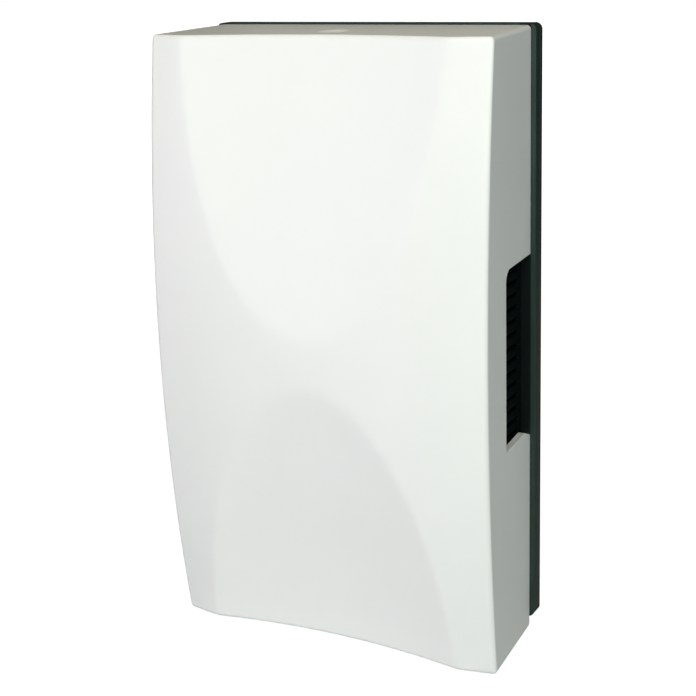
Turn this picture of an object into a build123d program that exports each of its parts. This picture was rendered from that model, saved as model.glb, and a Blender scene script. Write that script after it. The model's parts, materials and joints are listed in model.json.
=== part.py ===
from build123d import *
from math import asin, cos, degrees, hypot, pi, radians, sin, sqrt
import os

os.makedirs("parts", exist_ok=True)

# Doorbell chime box: a solenoid throws a plunger between two steel tone bars, under a white cover.
# The origin is the centre of the base's back face, which lies on the wall.
# +X is to the right seen from the front, +Z is up, and depth is measured out of the wall, along -Y.

overrun = 3.0  # how far every cut runs past the face that it opens
slip_gap = 0.3  # between pieces that move past each other
snug_gap = 0.05  # between a fixed piece and the hole that holds it

# Cover: flared box under a bowed front, hollowed by an upper and a lower scoop
cover_height = 190.5  # between the front corners
cover_width = 111.9
corner_depth = 39.5  # from the wall to the front corners
side_flare = 2.85  # each side leans out towards the front
end_draft = 0.5  # top and bottom lean out towards the rim
bow_rise = 7.35  # of the front, from top to bottom
barrel_rise = 6.0  # of the front, from side to side
belt_height = 15.2  # left at mid-height between the two scoops
scoop_end_depth = 37.2  # lowest line of a scoop at the cover's top and bottom
scoop_radius = 207.0
ridge_blend = 6.0
front_edge_radius = 1.0
corner_edge_radius = 1.4
inner_corner_radius = 0.6
cover_wall = 2.2

# Sound window in each side of the cover, open at the rim
window_height = 55.4
window_lift = 0.5  # above the cover's centre
window_reach = 23.8  # from the rim forwards
window_top_radius = 3.5
window_bottom_radius = 1.2
window_lead_drop = 2.0
window_lead_reach = 5.0

# Press mark over the latch in the cover's top
dish_diameter = 9.7
dish_sink = 0.8
dish_depth_place = 27.0

# Ribs inside the cover's bottom that carry it on the base
rest_rib_count = 4
rest_rib_width = 1.6
rest_rib_reach = 11.0
rest_rib_setback = 1.0

# Base: floor, ledge that the cover's rim meets, and upstand inside the cover
base_depth = 5.2
base_side_lip = 1.55  # beyond the cover's rim
base_top_lip = 0.5
base_bottom_inset = 4.0  # the cover's rim reaches this far below the base
base_corner_radius = 2.0
floor_thickness = 2.4
lip_wall = 2.0
groove_width = 1.5
groove_roof = 1.0  # of the floor that is left over the groove
upstand_wall = 1.8
upstand_height = 9.5
upstand_end_inset = 1.0  # of the upstand at the base's lower edge

# Latch tongue on the base's upper upstand
tongue_width = 14.0
tongue_slit = 1.4
tongue_reach = 24.0
tongue_nib_radius = 0.7
tongue_nib_gap = 0.1

# Wall fixings and wiring openings in the base
keyhole_top_room = 22.0
keyhole_head_radius = 4.2
keyhole_neck_radius = 2.1
keyhole_travel = 7.0
wall_slot_side_room = 13.8  # inside the upstand
wall_slot_end_room = 17.0
wall_slot_length = 8.0
wall_slot_radius = 2.25
fixing_pad_margin = 2.6
fixing_pad_height = 1.2
cable_entry_width = 24.0
cable_entry_height = 14.0
cable_entry_end_room = 23.0
cable_entry_corner = 2.0
cable_lip_wall = 1.4
cable_lip_height = 1.8
wire_notch_width = 10.0

# Floor ribs
floor_rib_thickness = 1.4
floor_rib_height = 3.4
floor_rib_end_gap = 6.0

# Tone bars, on edge, each hung at its two still points
bar_side_room = 6.3  # between a bar's outer face and the grille
bar_thickness = 2.5
bar_width = 28.0
low_bar_length = 132.0
high_bar_length = 118.0
bar_corner_radius = 2.0
bar_hole_radius = 3.2
still_point_share = 0.276  # from the middle of a free bar, of its length
strike_depth = 22.0  # of the plunger's axis and the bars' middle

# Rubber grommets and the shouldered screws through them
grommet_flange_radius = 5.0
grommet_flange_thickness = 1.5
grommet_edge_chamfer = 0.4
grommet_bore_radius = 1.6
bar_screw_radius = 1.5
bar_screw_grip = 6.0  # in the post
bar_screw_head_radius = 3.0
bar_screw_head_height = 2.0
screw_head_chamfer = 0.6
drive_slot_width = 0.8
drive_slot_depth = 0.9

# Posts of the base that carry the bars
post_width = 9.0
post_length = 8.0
post_margin = 5.5  # beyond the screw's axis
post_hole_spare = 1.0
gusset_thickness = 1.6
gusset_height = 15.0
gusset_reach = 10.0

# Sound grilles that stand behind the windows
grille_setback = 0.5  # of its outer face, within the upstand's
grille_thickness = 1.3
grille_end_overlap = 6.3  # beyond the window's ends
grille_front_overlap = 4.0
grille_foot_width = 5.0
grille_foot_thickness = 1.4
grille_slot_width = 1.6
grille_slot_count = 15
grille_slot_margin = 4.0
grille_corner_radius = 3.0
stake_radius = 1.2
stake_head_radius = 1.9
stake_head_height = 0.7
stake_spacing = 50.0

# Solenoid: steel yoke, bobbin, winding and tape
yoke_seat_depth = 7.0
yoke_thickness = 1.5
yoke_height = 24.0
yoke_bar_room = 18.0  # between the yoke and the right bar
yoke_bend_radius = 2.0
yoke_ear_spacing = 34.0
yoke_ear_width = 9.0
yoke_ear_hole_radius = 1.6
coil_boss_radius = 3.8
coil_screw_radius = 1.5
coil_screw_grip = 4.5
coil_screw_head_radius = 2.9
coil_screw_head_height = 1.9
bobbin_flange_thickness = 1.2
bobbin_tube_wall = 1.5
bobbin_collar_radius = 6.1
bobbin_corner_radius = 3.0
winding_radius = 10.3
tape_thickness = 0.4
tape_margin = 0.6

# Plunger: iron core with a nylon striker in each end
plunger_back_stroke = 2.5
plunger_stroke = 8.0
strike_gap = 0.2
core_radius = 4.2
core_running_gap = 0.1
core_chamfer = 0.4
spigot_radius = 2.5
spigot_length = 5.0
striker_length = 11.55
striker_radius = 4.0
striker_nose_radius = 3.0
striker_nose_length = 4.5
shoulder_radius = 6.6
shoulder_thickness = 1.5
shoulder_setback = 5.8  # of the spring's seat from the left striker's nose
spring_length = 17.5
spring_wire = 0.6
spring_mean_radius = 5.2
spring_turns = 6.5
wire_sides = 8  # of the spring's and the leads' facets around

# Terminal block and the parts in it
terminal_pad_height = 3.0
terminal_rise = 23.0  # over the cable entry
terminal_width = 23.0
terminal_height = 13.0
terminal_depth = 11.0
terminal_pitch = 12.0
terminal_edge_chamfer = 0.8
clamp_lift = 4.2  # of a clamp's axis over the block's back
clamp_radius = 2.2
clamp_bore_radius = 1.5
clamp_inset = 0.6
clamp_screw_radius = 1.2
clamp_screw_head_radius = 1.9
clamp_screw_head_height = 1.8
clamp_well_radius = 2.1
clamp_screw_sink = 1.0
block_hole_radius = 1.6
block_counterbore_radius = 2.9
block_counterbore_depth = 5.5
block_screw_radius = 1.4
block_screw_head_radius = 2.6
block_screw_head_height = 1.8
block_screw_grip = 4.0

# Coil tags and leads
tag_radius = 0.5
tag_reach = 4.3
tag_grip = 2.0
tag_pad_width = 3.0
tag_pad_depth = 6.0
tag_pad_height = 2.4
lead_diameter = 1.4
lead_drop_share = 0.38  # of the way down, straight from the tag
lead_entry_share = 0.4  # of the way down, straight into the clamp
lead_arc_share = 0.45  # of the shorter run beside each bend

sides = ((-1, "left"), (1, "right"))
cover_z = -(base_bottom_inset + base_top_lip) / 2


def arc_radius(chord, rise):
    return (chord**2 / 4 + rise**2) / (2 * rise)


bow_radius = arc_radius(cover_height, bow_rise)
barrel_radius = arc_radius(cover_width, barrel_rise)
bow_axis_depth = corner_depth + bow_rise - bow_radius
crest_radius = bow_radius + barrel_rise


def crest_depth(height):
    # Depth of the bowed front on the middle line, at a height from the cover's centre.
    return bow_axis_depth + sqrt(crest_radius**2 - height**2)


def lean(depth):
    return (corner_depth - depth) / (corner_depth - base_depth)


def half_width(depth):
    return cover_width / 2 - side_flare * lean(depth)


def half_height(depth):
    return cover_height / 2 + end_draft * lean(depth)


base_width = 2 * (half_width(base_depth) + base_side_lip)
base_height = 2 * half_height(base_depth) + base_top_lip - base_bottom_inset


scoop_start = (belt_height / 2, crest_depth(belt_height / 2))
scoop_end = (cover_height / 2, scoop_end_depth)
scoop_run = hypot(scoop_end[0] - scoop_start[0], scoop_end[1] - scoop_start[1])
scoop_along = ((scoop_end[0] - scoop_start[0]) / scoop_run, (scoop_end[1] - scoop_start[1]) / scoop_run)


def scoop_plane(end):
    # Middle of a scoop's axis, which runs square to its lowest line at the scoop's radius.
    height = (scoop_start[0] + scoop_end[0]) / 2 - scoop_along[1] * scoop_radius
    depth = (scoop_start[1] + scoop_end[1]) / 2 + scoop_along[0] * scoop_radius
    return Plane(
        origin=(0, -depth, cover_z + end * height),
        x_dir=(1, 0, 0),
        z_dir=(0, -scoop_along[1], end * scoop_along[0]),
    )


def cover_form(inset, back_depth, corner_radius):
    # Everything inside the cover's outer skin, or inside its inner skin when inset by the wall.
    front_depth = crest_depth(0) + overrun
    with BuildPart() as form:
        for depth in (back_depth, front_depth):
            with BuildSketch(Plane.XZ.offset(depth)):
                with Locations((0, cover_z)):
                    RectangleRounded(
                        2 * (half_width(depth) - inset), 2 * (half_height(depth) - inset), corner_radius
                    )
        loft()
        # The bowed front: the side-to-side arc turned about an axis far behind the wall.
        bow_angle = degrees(asin((cover_height / 2 + 2 * overrun) / bow_radius))
        bow_start = Plane(origin=(0, -bow_axis_depth, cover_z), z_dir=(0, 0, 1)).rotated((bow_angle, 0, 0))
        arc_end = cover_width / 2 + overrun
        skin_radius = barrel_radius - inset
        arc_centre = crest_radius - barrel_radius
        arc_edge = arc_centre + sqrt(skin_radius**2 - arc_end**2)
        arc_back = bow_radius - corner_depth - bow_rise - overrun
        with BuildSketch(bow_start):
            with BuildLine():
                ThreePointArc((-arc_end, -arc_edge), (0, -arc_centre - skin_radius), (arc_end, -arc_edge))
                Polyline(
                    (arc_end, -arc_edge), (arc_end, -arc_back), (-arc_end, -arc_back), (-arc_end, -arc_edge)
                )
            make_face()
        revolve(
            axis=Axis((0, -bow_axis_depth, cover_z), (1, 0, 0)),
            revolution_arc=-2 * bow_angle,
            mode=Mode.INTERSECT,
        )
        for end in (1, -1):
            with BuildSketch(scoop_plane(end)):
                Circle(scoop_radius + inset)
            extrude(amount=cover_height, both=True, mode=Mode.SUBTRACT)
    return form.part


def on_front_outline(edge):
    middle = edge.position_at(0.5)
    near = corner_edge_radius + front_edge_radius
    beside = abs(middle.X) > half_width(-middle.Y) - near
    above = abs(middle.Z - cover_z) > half_height(-middle.Y) - near
    along_front = abs(edge.tangent_at(0.5).Y) < sin(radians(45))
    return -middle.Y > scoop_end_depth - near and (beside or above) and along_front


def drive_slot(plane, head_radius):
    # Outline of the screwdriver slot across a screw head.
    with BuildSketch(plane) as slot:
        Rectangle(2 * head_radius + overrun, drive_slot_width)
    return slot.sketch


# Cover
window_z = cover_z + window_lift
window_front = base_depth + window_reach
window_top = window_z + window_height / 2
window_bottom = window_z - window_height / 2
dish_radius = arc_radius(dish_diameter, dish_sink)
upstand_front = base_depth + upstand_height
upstand_bottom = -base_height / 2 + upstand_end_inset
outer_form = cover_form(0, base_depth, corner_edge_radius)
inner_form = cover_form(cover_wall, base_depth - overrun, inner_corner_radius)
with BuildPart() as cover:
    add(outer_form)
    fillet(cover.edges().sort_by(SortBy.LENGTH)[-2:], ridge_blend)
    fillet(cover.edges().filter_by(on_front_outline), front_edge_radius)
    add(inner_form, mode=Mode.SUBTRACT)
    with BuildSketch(Plane.YZ) as window_shape:
        with BuildLine():
            Polyline(
                (overrun - base_depth, window_top),
                (-window_front, window_top),
                (-window_front, window_bottom),
                (-base_depth - window_lead_reach, window_bottom),
                (-base_depth, window_bottom - window_lead_drop),
                (overrun - base_depth, window_bottom - window_lead_drop),
                close=True,
            )
        make_face()
        front_corners = window_shape.vertices().group_by(Axis.X)[0].sort_by(Axis.Y)
        fillet(front_corners[-1], window_top_radius)
        fillet(window_shape.vertices().group_by(Axis.X)[0].sort_by(Axis.Y)[0], window_bottom_radius)
    extrude(amount=cover_width, both=True, mode=Mode.SUBTRACT)
    dish_top = cover_z + half_height(dish_depth_place)
    with Locations((0, -dish_depth_place, dish_top - dish_sink + dish_radius)):
        Sphere(dish_radius, mode=Mode.SUBTRACT)
    rib_top = upstand_bottom - slip_gap
    rib_bottom = cover_z - half_height(base_depth) + cover_wall / 2
    rib_pitch = 2 * half_width(base_depth) / (rest_rib_count + 1 / 2)
    with BuildSketch(Plane.XZ.offset(base_depth + rest_rib_setback)):
        with Locations((0, (rib_top + rib_bottom) / 2)):
            with GridLocations(rib_pitch, 0, rest_rib_count, 1):
                Rectangle(rest_rib_width, rib_top - rib_bottom)
    extrude(amount=rest_rib_reach)
cover.part.label = "cover"
export_step(cover.part, "parts/cover.step")

# Base
upstand_side = half_width(base_depth) - cover_wall - slip_gap
upstand_top = cover_z + half_height(upstand_front) - cover_wall - slip_gap
upstand_middle = (upstand_top + upstand_bottom) / 2
upstand_size = (2 * upstand_side, upstand_top - upstand_bottom)
pocket_size = (upstand_size[0] - 2 * upstand_wall, upstand_size[1] - 2 * upstand_wall)
grille_face_place = upstand_side - grille_setback
grille_inner = grille_face_place - grille_thickness
grille_height = window_height + 2 * grille_end_overlap
bar_face_place = grille_inner - bar_side_room - bar_thickness
grommet_seat = bar_face_place - grommet_flange_thickness
post_middle = grommet_seat - post_width / 2
post_front = strike_depth + post_margin
floor_rib_place = post_middle - gusset_reach
keyhole_z = base_height / 2 - keyhole_top_room
wall_slot_z = wall_slot_end_room - base_height / 2
wall_slot_spacing = pocket_size[0] - 2 * wall_slot_side_room
cable_entry_z = cable_entry_end_room - base_height / 2
terminal_z = cable_entry_z + terminal_rise
left_end = plunger_back_stroke + strike_gap - bar_face_place
right_end = bar_face_place - plunger_stroke - strike_gap
shoulder_face = left_end + shoulder_setback
yoke_left = shoulder_face + spring_length
yoke_right = bar_face_place - yoke_bar_room
yoke_length = yoke_right - yoke_left
coil_place = (yoke_left + yoke_right) / 2
tongue_top = cover_z + half_height(tongue_reach) - cover_wall - slip_gap
boss_height = yoke_seat_depth - floor_thickness
bar_lengths = {"left": low_bar_length, "right": high_bar_length}
ear_places = [(coil_place, end * yoke_ear_spacing / 2) for end in (-1, 1)]
post_places = [
    (side * post_middle, end * still_point_share * bar_lengths[name])
    for side, name in sides
    for end in (-1, 1)
]
with BuildPart() as base:
    with BuildSketch(Plane.XZ):
        RectangleRounded(base_width, base_height, base_corner_radius)
    extrude(amount=base_depth)
    with BuildSketch(Plane.XZ.offset(floor_thickness)):
        with Locations((0, upstand_middle)):
            Rectangle(*pocket_size)
    extrude(amount=base_depth, mode=Mode.SUBTRACT)
    with BuildSketch(Plane.XZ):
        Rectangle(base_width - 2 * lip_wall, base_height - 2 * lip_wall)
        inner_margin = 2 * (lip_wall + groove_width)
        Rectangle(base_width - inner_margin, base_height - inner_margin, mode=Mode.SUBTRACT)
    extrude(amount=floor_thickness - groove_roof, mode=Mode.SUBTRACT)
    with BuildSketch(Plane.XZ.offset(base_depth)):
        with Locations((0, upstand_middle)):
            Rectangle(*upstand_size)
            Rectangle(*pocket_size, mode=Mode.SUBTRACT)
    extrude(amount=upstand_height)
    # Room in the upstand and ledge for each grille
    with BuildSketch(Plane.XZ.offset(floor_thickness)):
        with Locations((0, window_z)):
            Rectangle(2 * (grille_face_place + snug_gap), grille_height + 2 * slip_gap)
            Rectangle(2 * grille_inner, grille_height + 2 * slip_gap, mode=Mode.SUBTRACT)
    extrude(amount=upstand_front, mode=Mode.SUBTRACT)
    with BuildSketch(Plane.XZ.offset(base_depth)):
        with Locations((0, window_z)):
            Rectangle(base_width, grille_height + 2 * slip_gap)
    extrude(amount=upstand_front, mode=Mode.SUBTRACT)
    # Latch tongue between two slits in the upper upstand
    with BuildSketch(Plane.XZ.offset(base_depth)):
        with Locations((0, upstand_top)):
            with GridLocations(tongue_width + tongue_slit, 0, 2, 1):
                Rectangle(tongue_slit, 4 * upstand_wall)
    extrude(amount=upstand_front, mode=Mode.SUBTRACT)
    with BuildSketch(Plane.XZ.offset(base_depth)):
        with Locations((0, tongue_top - upstand_wall / 2)):
            Rectangle(tongue_width, upstand_wall)
    extrude(amount=tongue_reach - base_depth)
    nib_depth = tongue_reach - 2 * tongue_nib_radius
    nib_top = cover_z + half_height(nib_depth) - cover_wall - tongue_nib_gap
    with Locations((0, -nib_depth, nib_top - tongue_nib_radius)):
        Cylinder(tongue_nib_radius, tongue_width / 2, rotation=(0, 90, 0))
    # Notch that lets a surface wire in at the bottom
    with BuildSketch(Plane.XZ.offset(base_depth)):
        with Locations((0, upstand_bottom)):
            Rectangle(wire_notch_width, 4 * upstand_wall)
    extrude(amount=upstand_front, mode=Mode.SUBTRACT)
    # Floor ribs, pads of the wall fixings, lip of the cable entry, seat of the terminal block
    rib_length = pocket_size[1] - 2 * floor_rib_end_gap
    with BuildSketch(Plane.XZ.offset(floor_thickness)):
        with Locations((0, upstand_middle)):
            with GridLocations(2 * floor_rib_place, 0, 2, 1):
                Rectangle(floor_rib_thickness, rib_length)
    extrude(amount=floor_rib_height)
    with BuildSketch(Plane.XZ.offset(floor_thickness)):
        with Locations((0, wall_slot_z)):
            with GridLocations(wall_slot_spacing, 0, 2, 1):
                pad_radius = wall_slot_radius + fixing_pad_margin
                SlotOverall(wall_slot_length + 2 * fixing_pad_margin, 2 * pad_radius)
        with Locations((0, keyhole_z)):
            Circle(keyhole_head_radius + fixing_pad_margin)
        with Locations((0, keyhole_z + keyhole_travel)):
            Circle(keyhole_neck_radius + fixing_pad_margin)
    extrude(amount=fixing_pad_height)
    with BuildSketch(Plane.XZ.offset(floor_thickness)):
        with Locations((0, cable_entry_z)):
            lip_margin = 2 * cable_lip_wall
            RectangleRounded(
                cable_entry_width + lip_margin,
                cable_entry_height + lip_margin,
                cable_entry_corner + cable_lip_wall,
            )
    extrude(amount=cable_lip_height)
    with BuildSketch(Plane.XZ.offset(floor_thickness)):
        with Locations((0, terminal_z)):
            Rectangle(terminal_width, terminal_height)
    extrude(amount=terminal_pad_height)
    # Bosses of the coil, posts of the bars with their gussets, and stakes of the grilles
    with BuildSketch(Plane.XZ.offset(floor_thickness)):
        with Locations(*ear_places):
            Circle(coil_boss_radius)
    extrude(amount=boss_height)
    with BuildSketch(Plane.XZ.offset(floor_thickness)):
        with Locations(*post_places):
            Rectangle(post_width, post_length)
    extrude(amount=post_front - floor_thickness)
    for place_x, place_z in post_places:
        web_foot = floor_rib_place if place_x > 0 else -floor_rib_place
        with BuildSketch(Plane.XY.offset(place_z - gusset_thickness / 2)):
            with BuildLine():
                Polyline(
                    (web_foot, -floor_thickness),
                    (place_x, -floor_thickness),
                    (place_x, -floor_thickness - gusset_height),
                    close=True,
                )
            make_face()
        extrude(amount=gusset_thickness)
    with BuildSketch(Plane.XZ.offset(floor_thickness)):
        with Locations((0, window_z)):
            with GridLocations(2 * (grille_inner - grille_foot_width / 2), stake_spacing, 2, 2):
                Circle(stake_radius)
    extrude(amount=grille_foot_thickness)
    with BuildSketch(Plane.XZ.offset(floor_thickness + grille_foot_thickness)):
        with Locations((0, window_z)):
            with GridLocations(2 * (grille_inner - grille_foot_width / 2), stake_spacing, 2, 2):
                Circle(stake_head_radius)
    extrude(amount=stake_head_height)
    # Screw holes in posts, bosses and terminal seat
    for place_x, place_z in post_places:
        side = 1 if place_x > 0 else -1
        hole_plane = Plane(origin=(side * grommet_seat, -strike_depth, place_z), z_dir=(side, 0, 0))
        with BuildSketch(hole_plane):
            Circle(bar_screw_radius + snug_gap)
        extrude(amount=-bar_screw_grip - post_hole_spare, mode=Mode.SUBTRACT)
    with BuildSketch(Plane.XZ.offset(yoke_seat_depth)):
        with Locations(*ear_places):
            Circle(coil_screw_radius + snug_gap)
    extrude(amount=-coil_screw_grip - snug_gap, mode=Mode.SUBTRACT)
    terminal_back = floor_thickness + terminal_pad_height
    with BuildSketch(Plane.XZ.offset(terminal_back)):
        with Locations((0, terminal_z)):
            Circle(block_screw_radius + snug_gap)
    extrude(amount=-block_screw_grip - snug_gap, mode=Mode.SUBTRACT)
    # Openings through the floor
    with BuildSketch(Plane.XZ.offset(-overrun)):
        with Locations((0, wall_slot_z)):
            with GridLocations(wall_slot_spacing, 0, 2, 1):
                SlotOverall(wall_slot_length, 2 * wall_slot_radius)
        with Locations((0, keyhole_z)):
            Circle(keyhole_head_radius)
        with Locations((0, keyhole_z + keyhole_travel / 2)):
            SlotCenterToCenter(keyhole_travel, 2 * keyhole_neck_radius, rotation=90)
        with Locations((0, cable_entry_z)):
            RectangleRounded(cable_entry_width, cable_entry_height, cable_entry_corner)
    extrude(amount=base_depth + 2 * overrun, mode=Mode.SUBTRACT)
base.part.label = "base"
export_step(base.part, "parts/base.step")

# Sound grilles: slotted panels with a staked foot
grille_reach = window_front + grille_front_overlap
for side, name in sides:
    with BuildPart() as sound_grille:
        with BuildSketch(Plane.YZ.offset(side * grille_face_place)) as panel:
            with Locations((-(floor_thickness + grille_reach) / 2, window_z)):
                Rectangle(grille_reach - floor_thickness, grille_height)
            fillet(panel.vertices().group_by(Axis.X)[0], grille_corner_radius)
            slot_run = window_front - base_depth - grille_slot_margin
            slot_pitch = (grille_height - 2 * grille_slot_margin) / grille_slot_count
            with Locations((-(base_depth + window_front) / 2, window_z)):
                with GridLocations(0, slot_pitch, 1, grille_slot_count):
                    Rectangle(slot_run, grille_slot_width, mode=Mode.SUBTRACT)
        extrude(amount=-side * grille_thickness)
        with BuildSketch(Plane.XZ.offset(floor_thickness)):
            with Locations((side * (grille_inner - grille_foot_width / 2), window_z)):
                Rectangle(grille_foot_width, grille_height)
                with GridLocations(0, stake_spacing, 1, 2):
                    Circle(stake_radius + snug_gap, mode=Mode.SUBTRACT)
        extrude(amount=grille_foot_thickness)
    sound_grille.part.label = f"sound_grille_{name}"
    export_step(sound_grille.part, f"parts/sound_grille_{name}.step")

# Tone bars with their grommets and screws
bar_middle = bar_face_place + bar_thickness / 2
grommet_length = bar_thickness + 2 * grommet_flange_thickness
screw_seat = grommet_seat + grommet_length
for side, name in sides:
    still_points = [end * still_point_share * bar_lengths[name] for end in (-1, 1)]
    with BuildPart() as tone_bar:
        with BuildSketch(Plane.YZ.offset(side * bar_face_place)):
            with Locations((-strike_depth, 0)):
                RectangleRounded(bar_width, bar_lengths[name], bar_corner_radius)
            with Locations(*[(-strike_depth, point) for point in still_points]):
                Circle(bar_hole_radius, mode=Mode.SUBTRACT)
        extrude(amount=side * bar_thickness)
    tone_bar.part.label = f"tone_bar_{name}"
    export_step(tone_bar.part, f"parts/tone_bar_{name}.step")

    with BuildPart() as grommets:
        for point in still_points:
            centre = (side * bar_middle, -strike_depth, point)
            across = Plane(origin=centre, x_dir=(0, 0, 1), z_dir=(0, -1, 0))
            with BuildSketch(across) as half:
                with Locations(((grommet_bore_radius + grommet_flange_radius) / 2, 0)):
                    Rectangle(grommet_flange_radius - grommet_bore_radius, grommet_length)
                chamfer(half.vertices().group_by(Axis.X)[-1], grommet_edge_chamfer)
                waist = bar_hole_radius - snug_gap
                with Locations(((waist + grommet_flange_radius + overrun) / 2, 0)):
                    Rectangle(grommet_flange_radius + overrun - waist, bar_thickness, mode=Mode.SUBTRACT)
            revolve(axis=Axis((0, -strike_depth, point), (1, 0, 0)))
    grommets.part.label = f"grommets_{name}"
    export_step(grommets.part, f"parts/grommets_{name}.step")

    with BuildPart() as tone_bar_screws:
        for point in still_points:
            seat = Plane(origin=(side * screw_seat, -strike_depth, point), z_dir=(side, 0, 0))
            with BuildSketch(seat):
                Circle(bar_screw_radius)
            extrude(amount=-grommet_length - bar_screw_grip)
            with BuildSketch(seat):
                Circle(bar_screw_head_radius)
            extrude(amount=bar_screw_head_height)
        crowns = tone_bar_screws.faces().group_by(Axis.X)[-1 if side > 0 else 0]
        chamfer(crowns.edges(), screw_head_chamfer)
        for point in still_points:
            top = Plane(
                origin=(side * (screw_seat + bar_screw_head_height), -strike_depth, point), z_dir=(side, 0, 0)
            )
            slot = drive_slot(top, bar_screw_head_radius)
            extrude(slot, amount=-drive_slot_depth, mode=Mode.SUBTRACT)
    tone_bar_screws.part.label = f"tone_bar_screws_{name}"
    export_step(tone_bar_screws.part, f"parts/tone_bar_screws_{name}.step")

# Yoke of the solenoid, bent from strip
yoke_inner = yoke_length / 2 - yoke_thickness
strap_front = yoke_seat_depth + yoke_thickness
flange_half = strike_depth - strap_front - slip_gap
yoke_front = strike_depth + flange_half + slip_gap
with BuildPart() as coil_yoke:
    with BuildSketch(Plane.XY.offset(-yoke_height / 2)) as bent_strip:
        with Locations((coil_place, -(yoke_seat_depth + yoke_front) / 2)):
            Rectangle(yoke_length, yoke_front - yoke_seat_depth)
        fillet(bent_strip.vertices().group_by(Axis.Y)[-1], yoke_bend_radius)
        with Locations((coil_place, -(strap_front + yoke_front + overrun) / 2)):
            Rectangle(2 * yoke_inner, yoke_front + overrun - strap_front, mode=Mode.SUBTRACT)
    extrude(amount=yoke_height)
    with BuildSketch(Plane.XZ.offset(yoke_seat_depth)):
        with Locations((coil_place, 0)):
            SlotCenterToCenter(yoke_ear_spacing, yoke_ear_width, rotation=90)
        with Locations(*ear_places):
            Circle(yoke_ear_hole_radius, mode=Mode.SUBTRACT)
    extrude(amount=yoke_thickness)
    with BuildSketch(Plane.YZ.offset(coil_place)):
        with Locations((-strike_depth, 0)):
            Circle(bobbin_collar_radius + snug_gap)
    extrude(amount=yoke_length, both=True, mode=Mode.SUBTRACT)
coil_yoke.part.label = "coil_yoke"
export_step(coil_yoke.part, "parts/coil_yoke.step")

with BuildPart() as coil_screws:
    with BuildSketch(Plane.XZ.offset(strap_front)):
        with Locations(*ear_places):
            Circle(coil_screw_radius)
    extrude(amount=-yoke_thickness - coil_screw_grip)
    with BuildSketch(Plane.XZ.offset(strap_front)):
        with Locations(*ear_places):
            Circle(coil_screw_head_radius)
    extrude(amount=coil_screw_head_height)
    chamfer(coil_screws.faces().group_by(Axis.Y)[0].edges(), screw_head_chamfer)
    for ear_x, ear_z in ear_places:
        top = Plane(origin=(ear_x, -strap_front - coil_screw_head_height, ear_z), z_dir=(0, -1, 0))
        slot = drive_slot(top, coil_screw_head_radius)
        extrude(slot, amount=-drive_slot_depth, mode=Mode.SUBTRACT)
coil_screws.part.label = "coil_screws"
export_step(coil_screws.part, "parts/coil_screws.step")

# Bobbin, winding and tape, all about the plunger's axis
bore_radius = core_radius + core_running_gap
tube_radius = bore_radius + bobbin_tube_wall
flange_inner = yoke_inner - bobbin_flange_thickness
with BuildPart() as coil_bobbin:
    with BuildSketch(Plane.YZ.offset(yoke_left)):
        with Locations((-strike_depth, 0)):
            Circle(bobbin_collar_radius)
    extrude(amount=yoke_length)
    for side, name in sides:
        with BuildSketch(Plane.YZ.offset(coil_place + side * flange_inner)):
            with Locations((-strike_depth, 0)):
                RectangleRounded(2 * flange_half, 2 * flange_half, bobbin_corner_radius)
        extrude(amount=side * bobbin_flange_thickness)
        with BuildSketch(Plane.YZ.offset(coil_place + side * flange_inner)):
            with Locations((-strike_depth, tag_pad_height / 2 - flange_half)):
                Rectangle(tag_pad_depth, tag_pad_height)
        extrude(amount=-side * tag_pad_width)
        with BuildSketch(Plane.XY.offset(-flange_half)):
            with Locations((coil_place + side * (flange_inner - tag_pad_width / 2), -strike_depth)):
                Circle(tag_radius)
        extrude(amount=tag_grip, mode=Mode.SUBTRACT)
    with BuildSketch(Plane.YZ.offset(coil_place - flange_inner)):
        with Locations((-strike_depth, 0)):
            Circle(bobbin_collar_radius + overrun)
            Circle(tube_radius, mode=Mode.SUBTRACT)
    extrude(amount=2 * flange_inner, mode=Mode.SUBTRACT)
    with BuildSketch(Plane.YZ.offset(coil_place)):
        with Locations((-strike_depth, 0)):
            Circle(bore_radius)
    extrude(amount=yoke_length, both=True, mode=Mode.SUBTRACT)
coil_bobbin.part.label = "coil_bobbin"
export_step(coil_bobbin.part, "parts/coil_bobbin.step")

with BuildPart() as coil_winding:
    with BuildSketch(Plane.YZ.offset(coil_place - flange_inner)):
        with Locations((-strike_depth, 0)):
            Circle(winding_radius)
            Circle(tube_radius, mode=Mode.SUBTRACT)
    extrude(amount=2 * flange_inner)
coil_winding.part.label = "coil_winding"
export_step(coil_winding.part, "parts/coil_winding.step")

with BuildPart() as coil_tape:
    with BuildSketch(Plane.YZ.offset(coil_place + tape_margin - flange_inner)):
        with Locations((-strike_depth, 0)):
            Circle(winding_radius + tape_thickness)
            Circle(winding_radius, mode=Mode.SUBTRACT)
    extrude(amount=2 * (flange_inner - tape_margin))
coil_tape.part.label = "coil_tape"
export_step(coil_tape.part, "parts/coil_tape.step")

tag_place = flange_inner - tag_pad_width / 2
tag_tip = -flange_half - tag_reach
with BuildPart() as coil_tags:
    with BuildSketch(Plane.XY.offset(tag_tip)):
        with Locations(*[(coil_place + side * tag_place, -strike_depth) for side, name in sides]):
            Circle(tag_radius)
    extrude(amount=tag_reach + tag_grip)
coil_tags.part.label = "coil_tags"
export_step(coil_tags.part, "parts/coil_tags.step")

# Plunger at rest, nearer the left bar
core_left = left_end + striker_length
core_right = right_end - striker_length
core_length = core_right - core_left
with BuildPart() as plunger_core:
    with BuildSketch(Plane.YZ.offset(core_left)):
        with Locations((-strike_depth, 0)):
            Circle(core_radius)
    extrude(amount=core_length)
    chamfer(plunger_core.edges().filter_by(GeomType.CIRCLE), core_chamfer)
    for end, direction in ((core_left, 1), (core_right, -1)):
        with BuildSketch(Plane.YZ.offset(end)):
            with Locations((-strike_depth, 0)):
                Circle(spigot_radius + snug_gap)
        extrude(amount=direction * (spigot_length + snug_gap), mode=Mode.SUBTRACT)
plunger_core.part.label = "plunger_core"
export_step(plunger_core.part, "parts/plunger_core.step")

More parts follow.
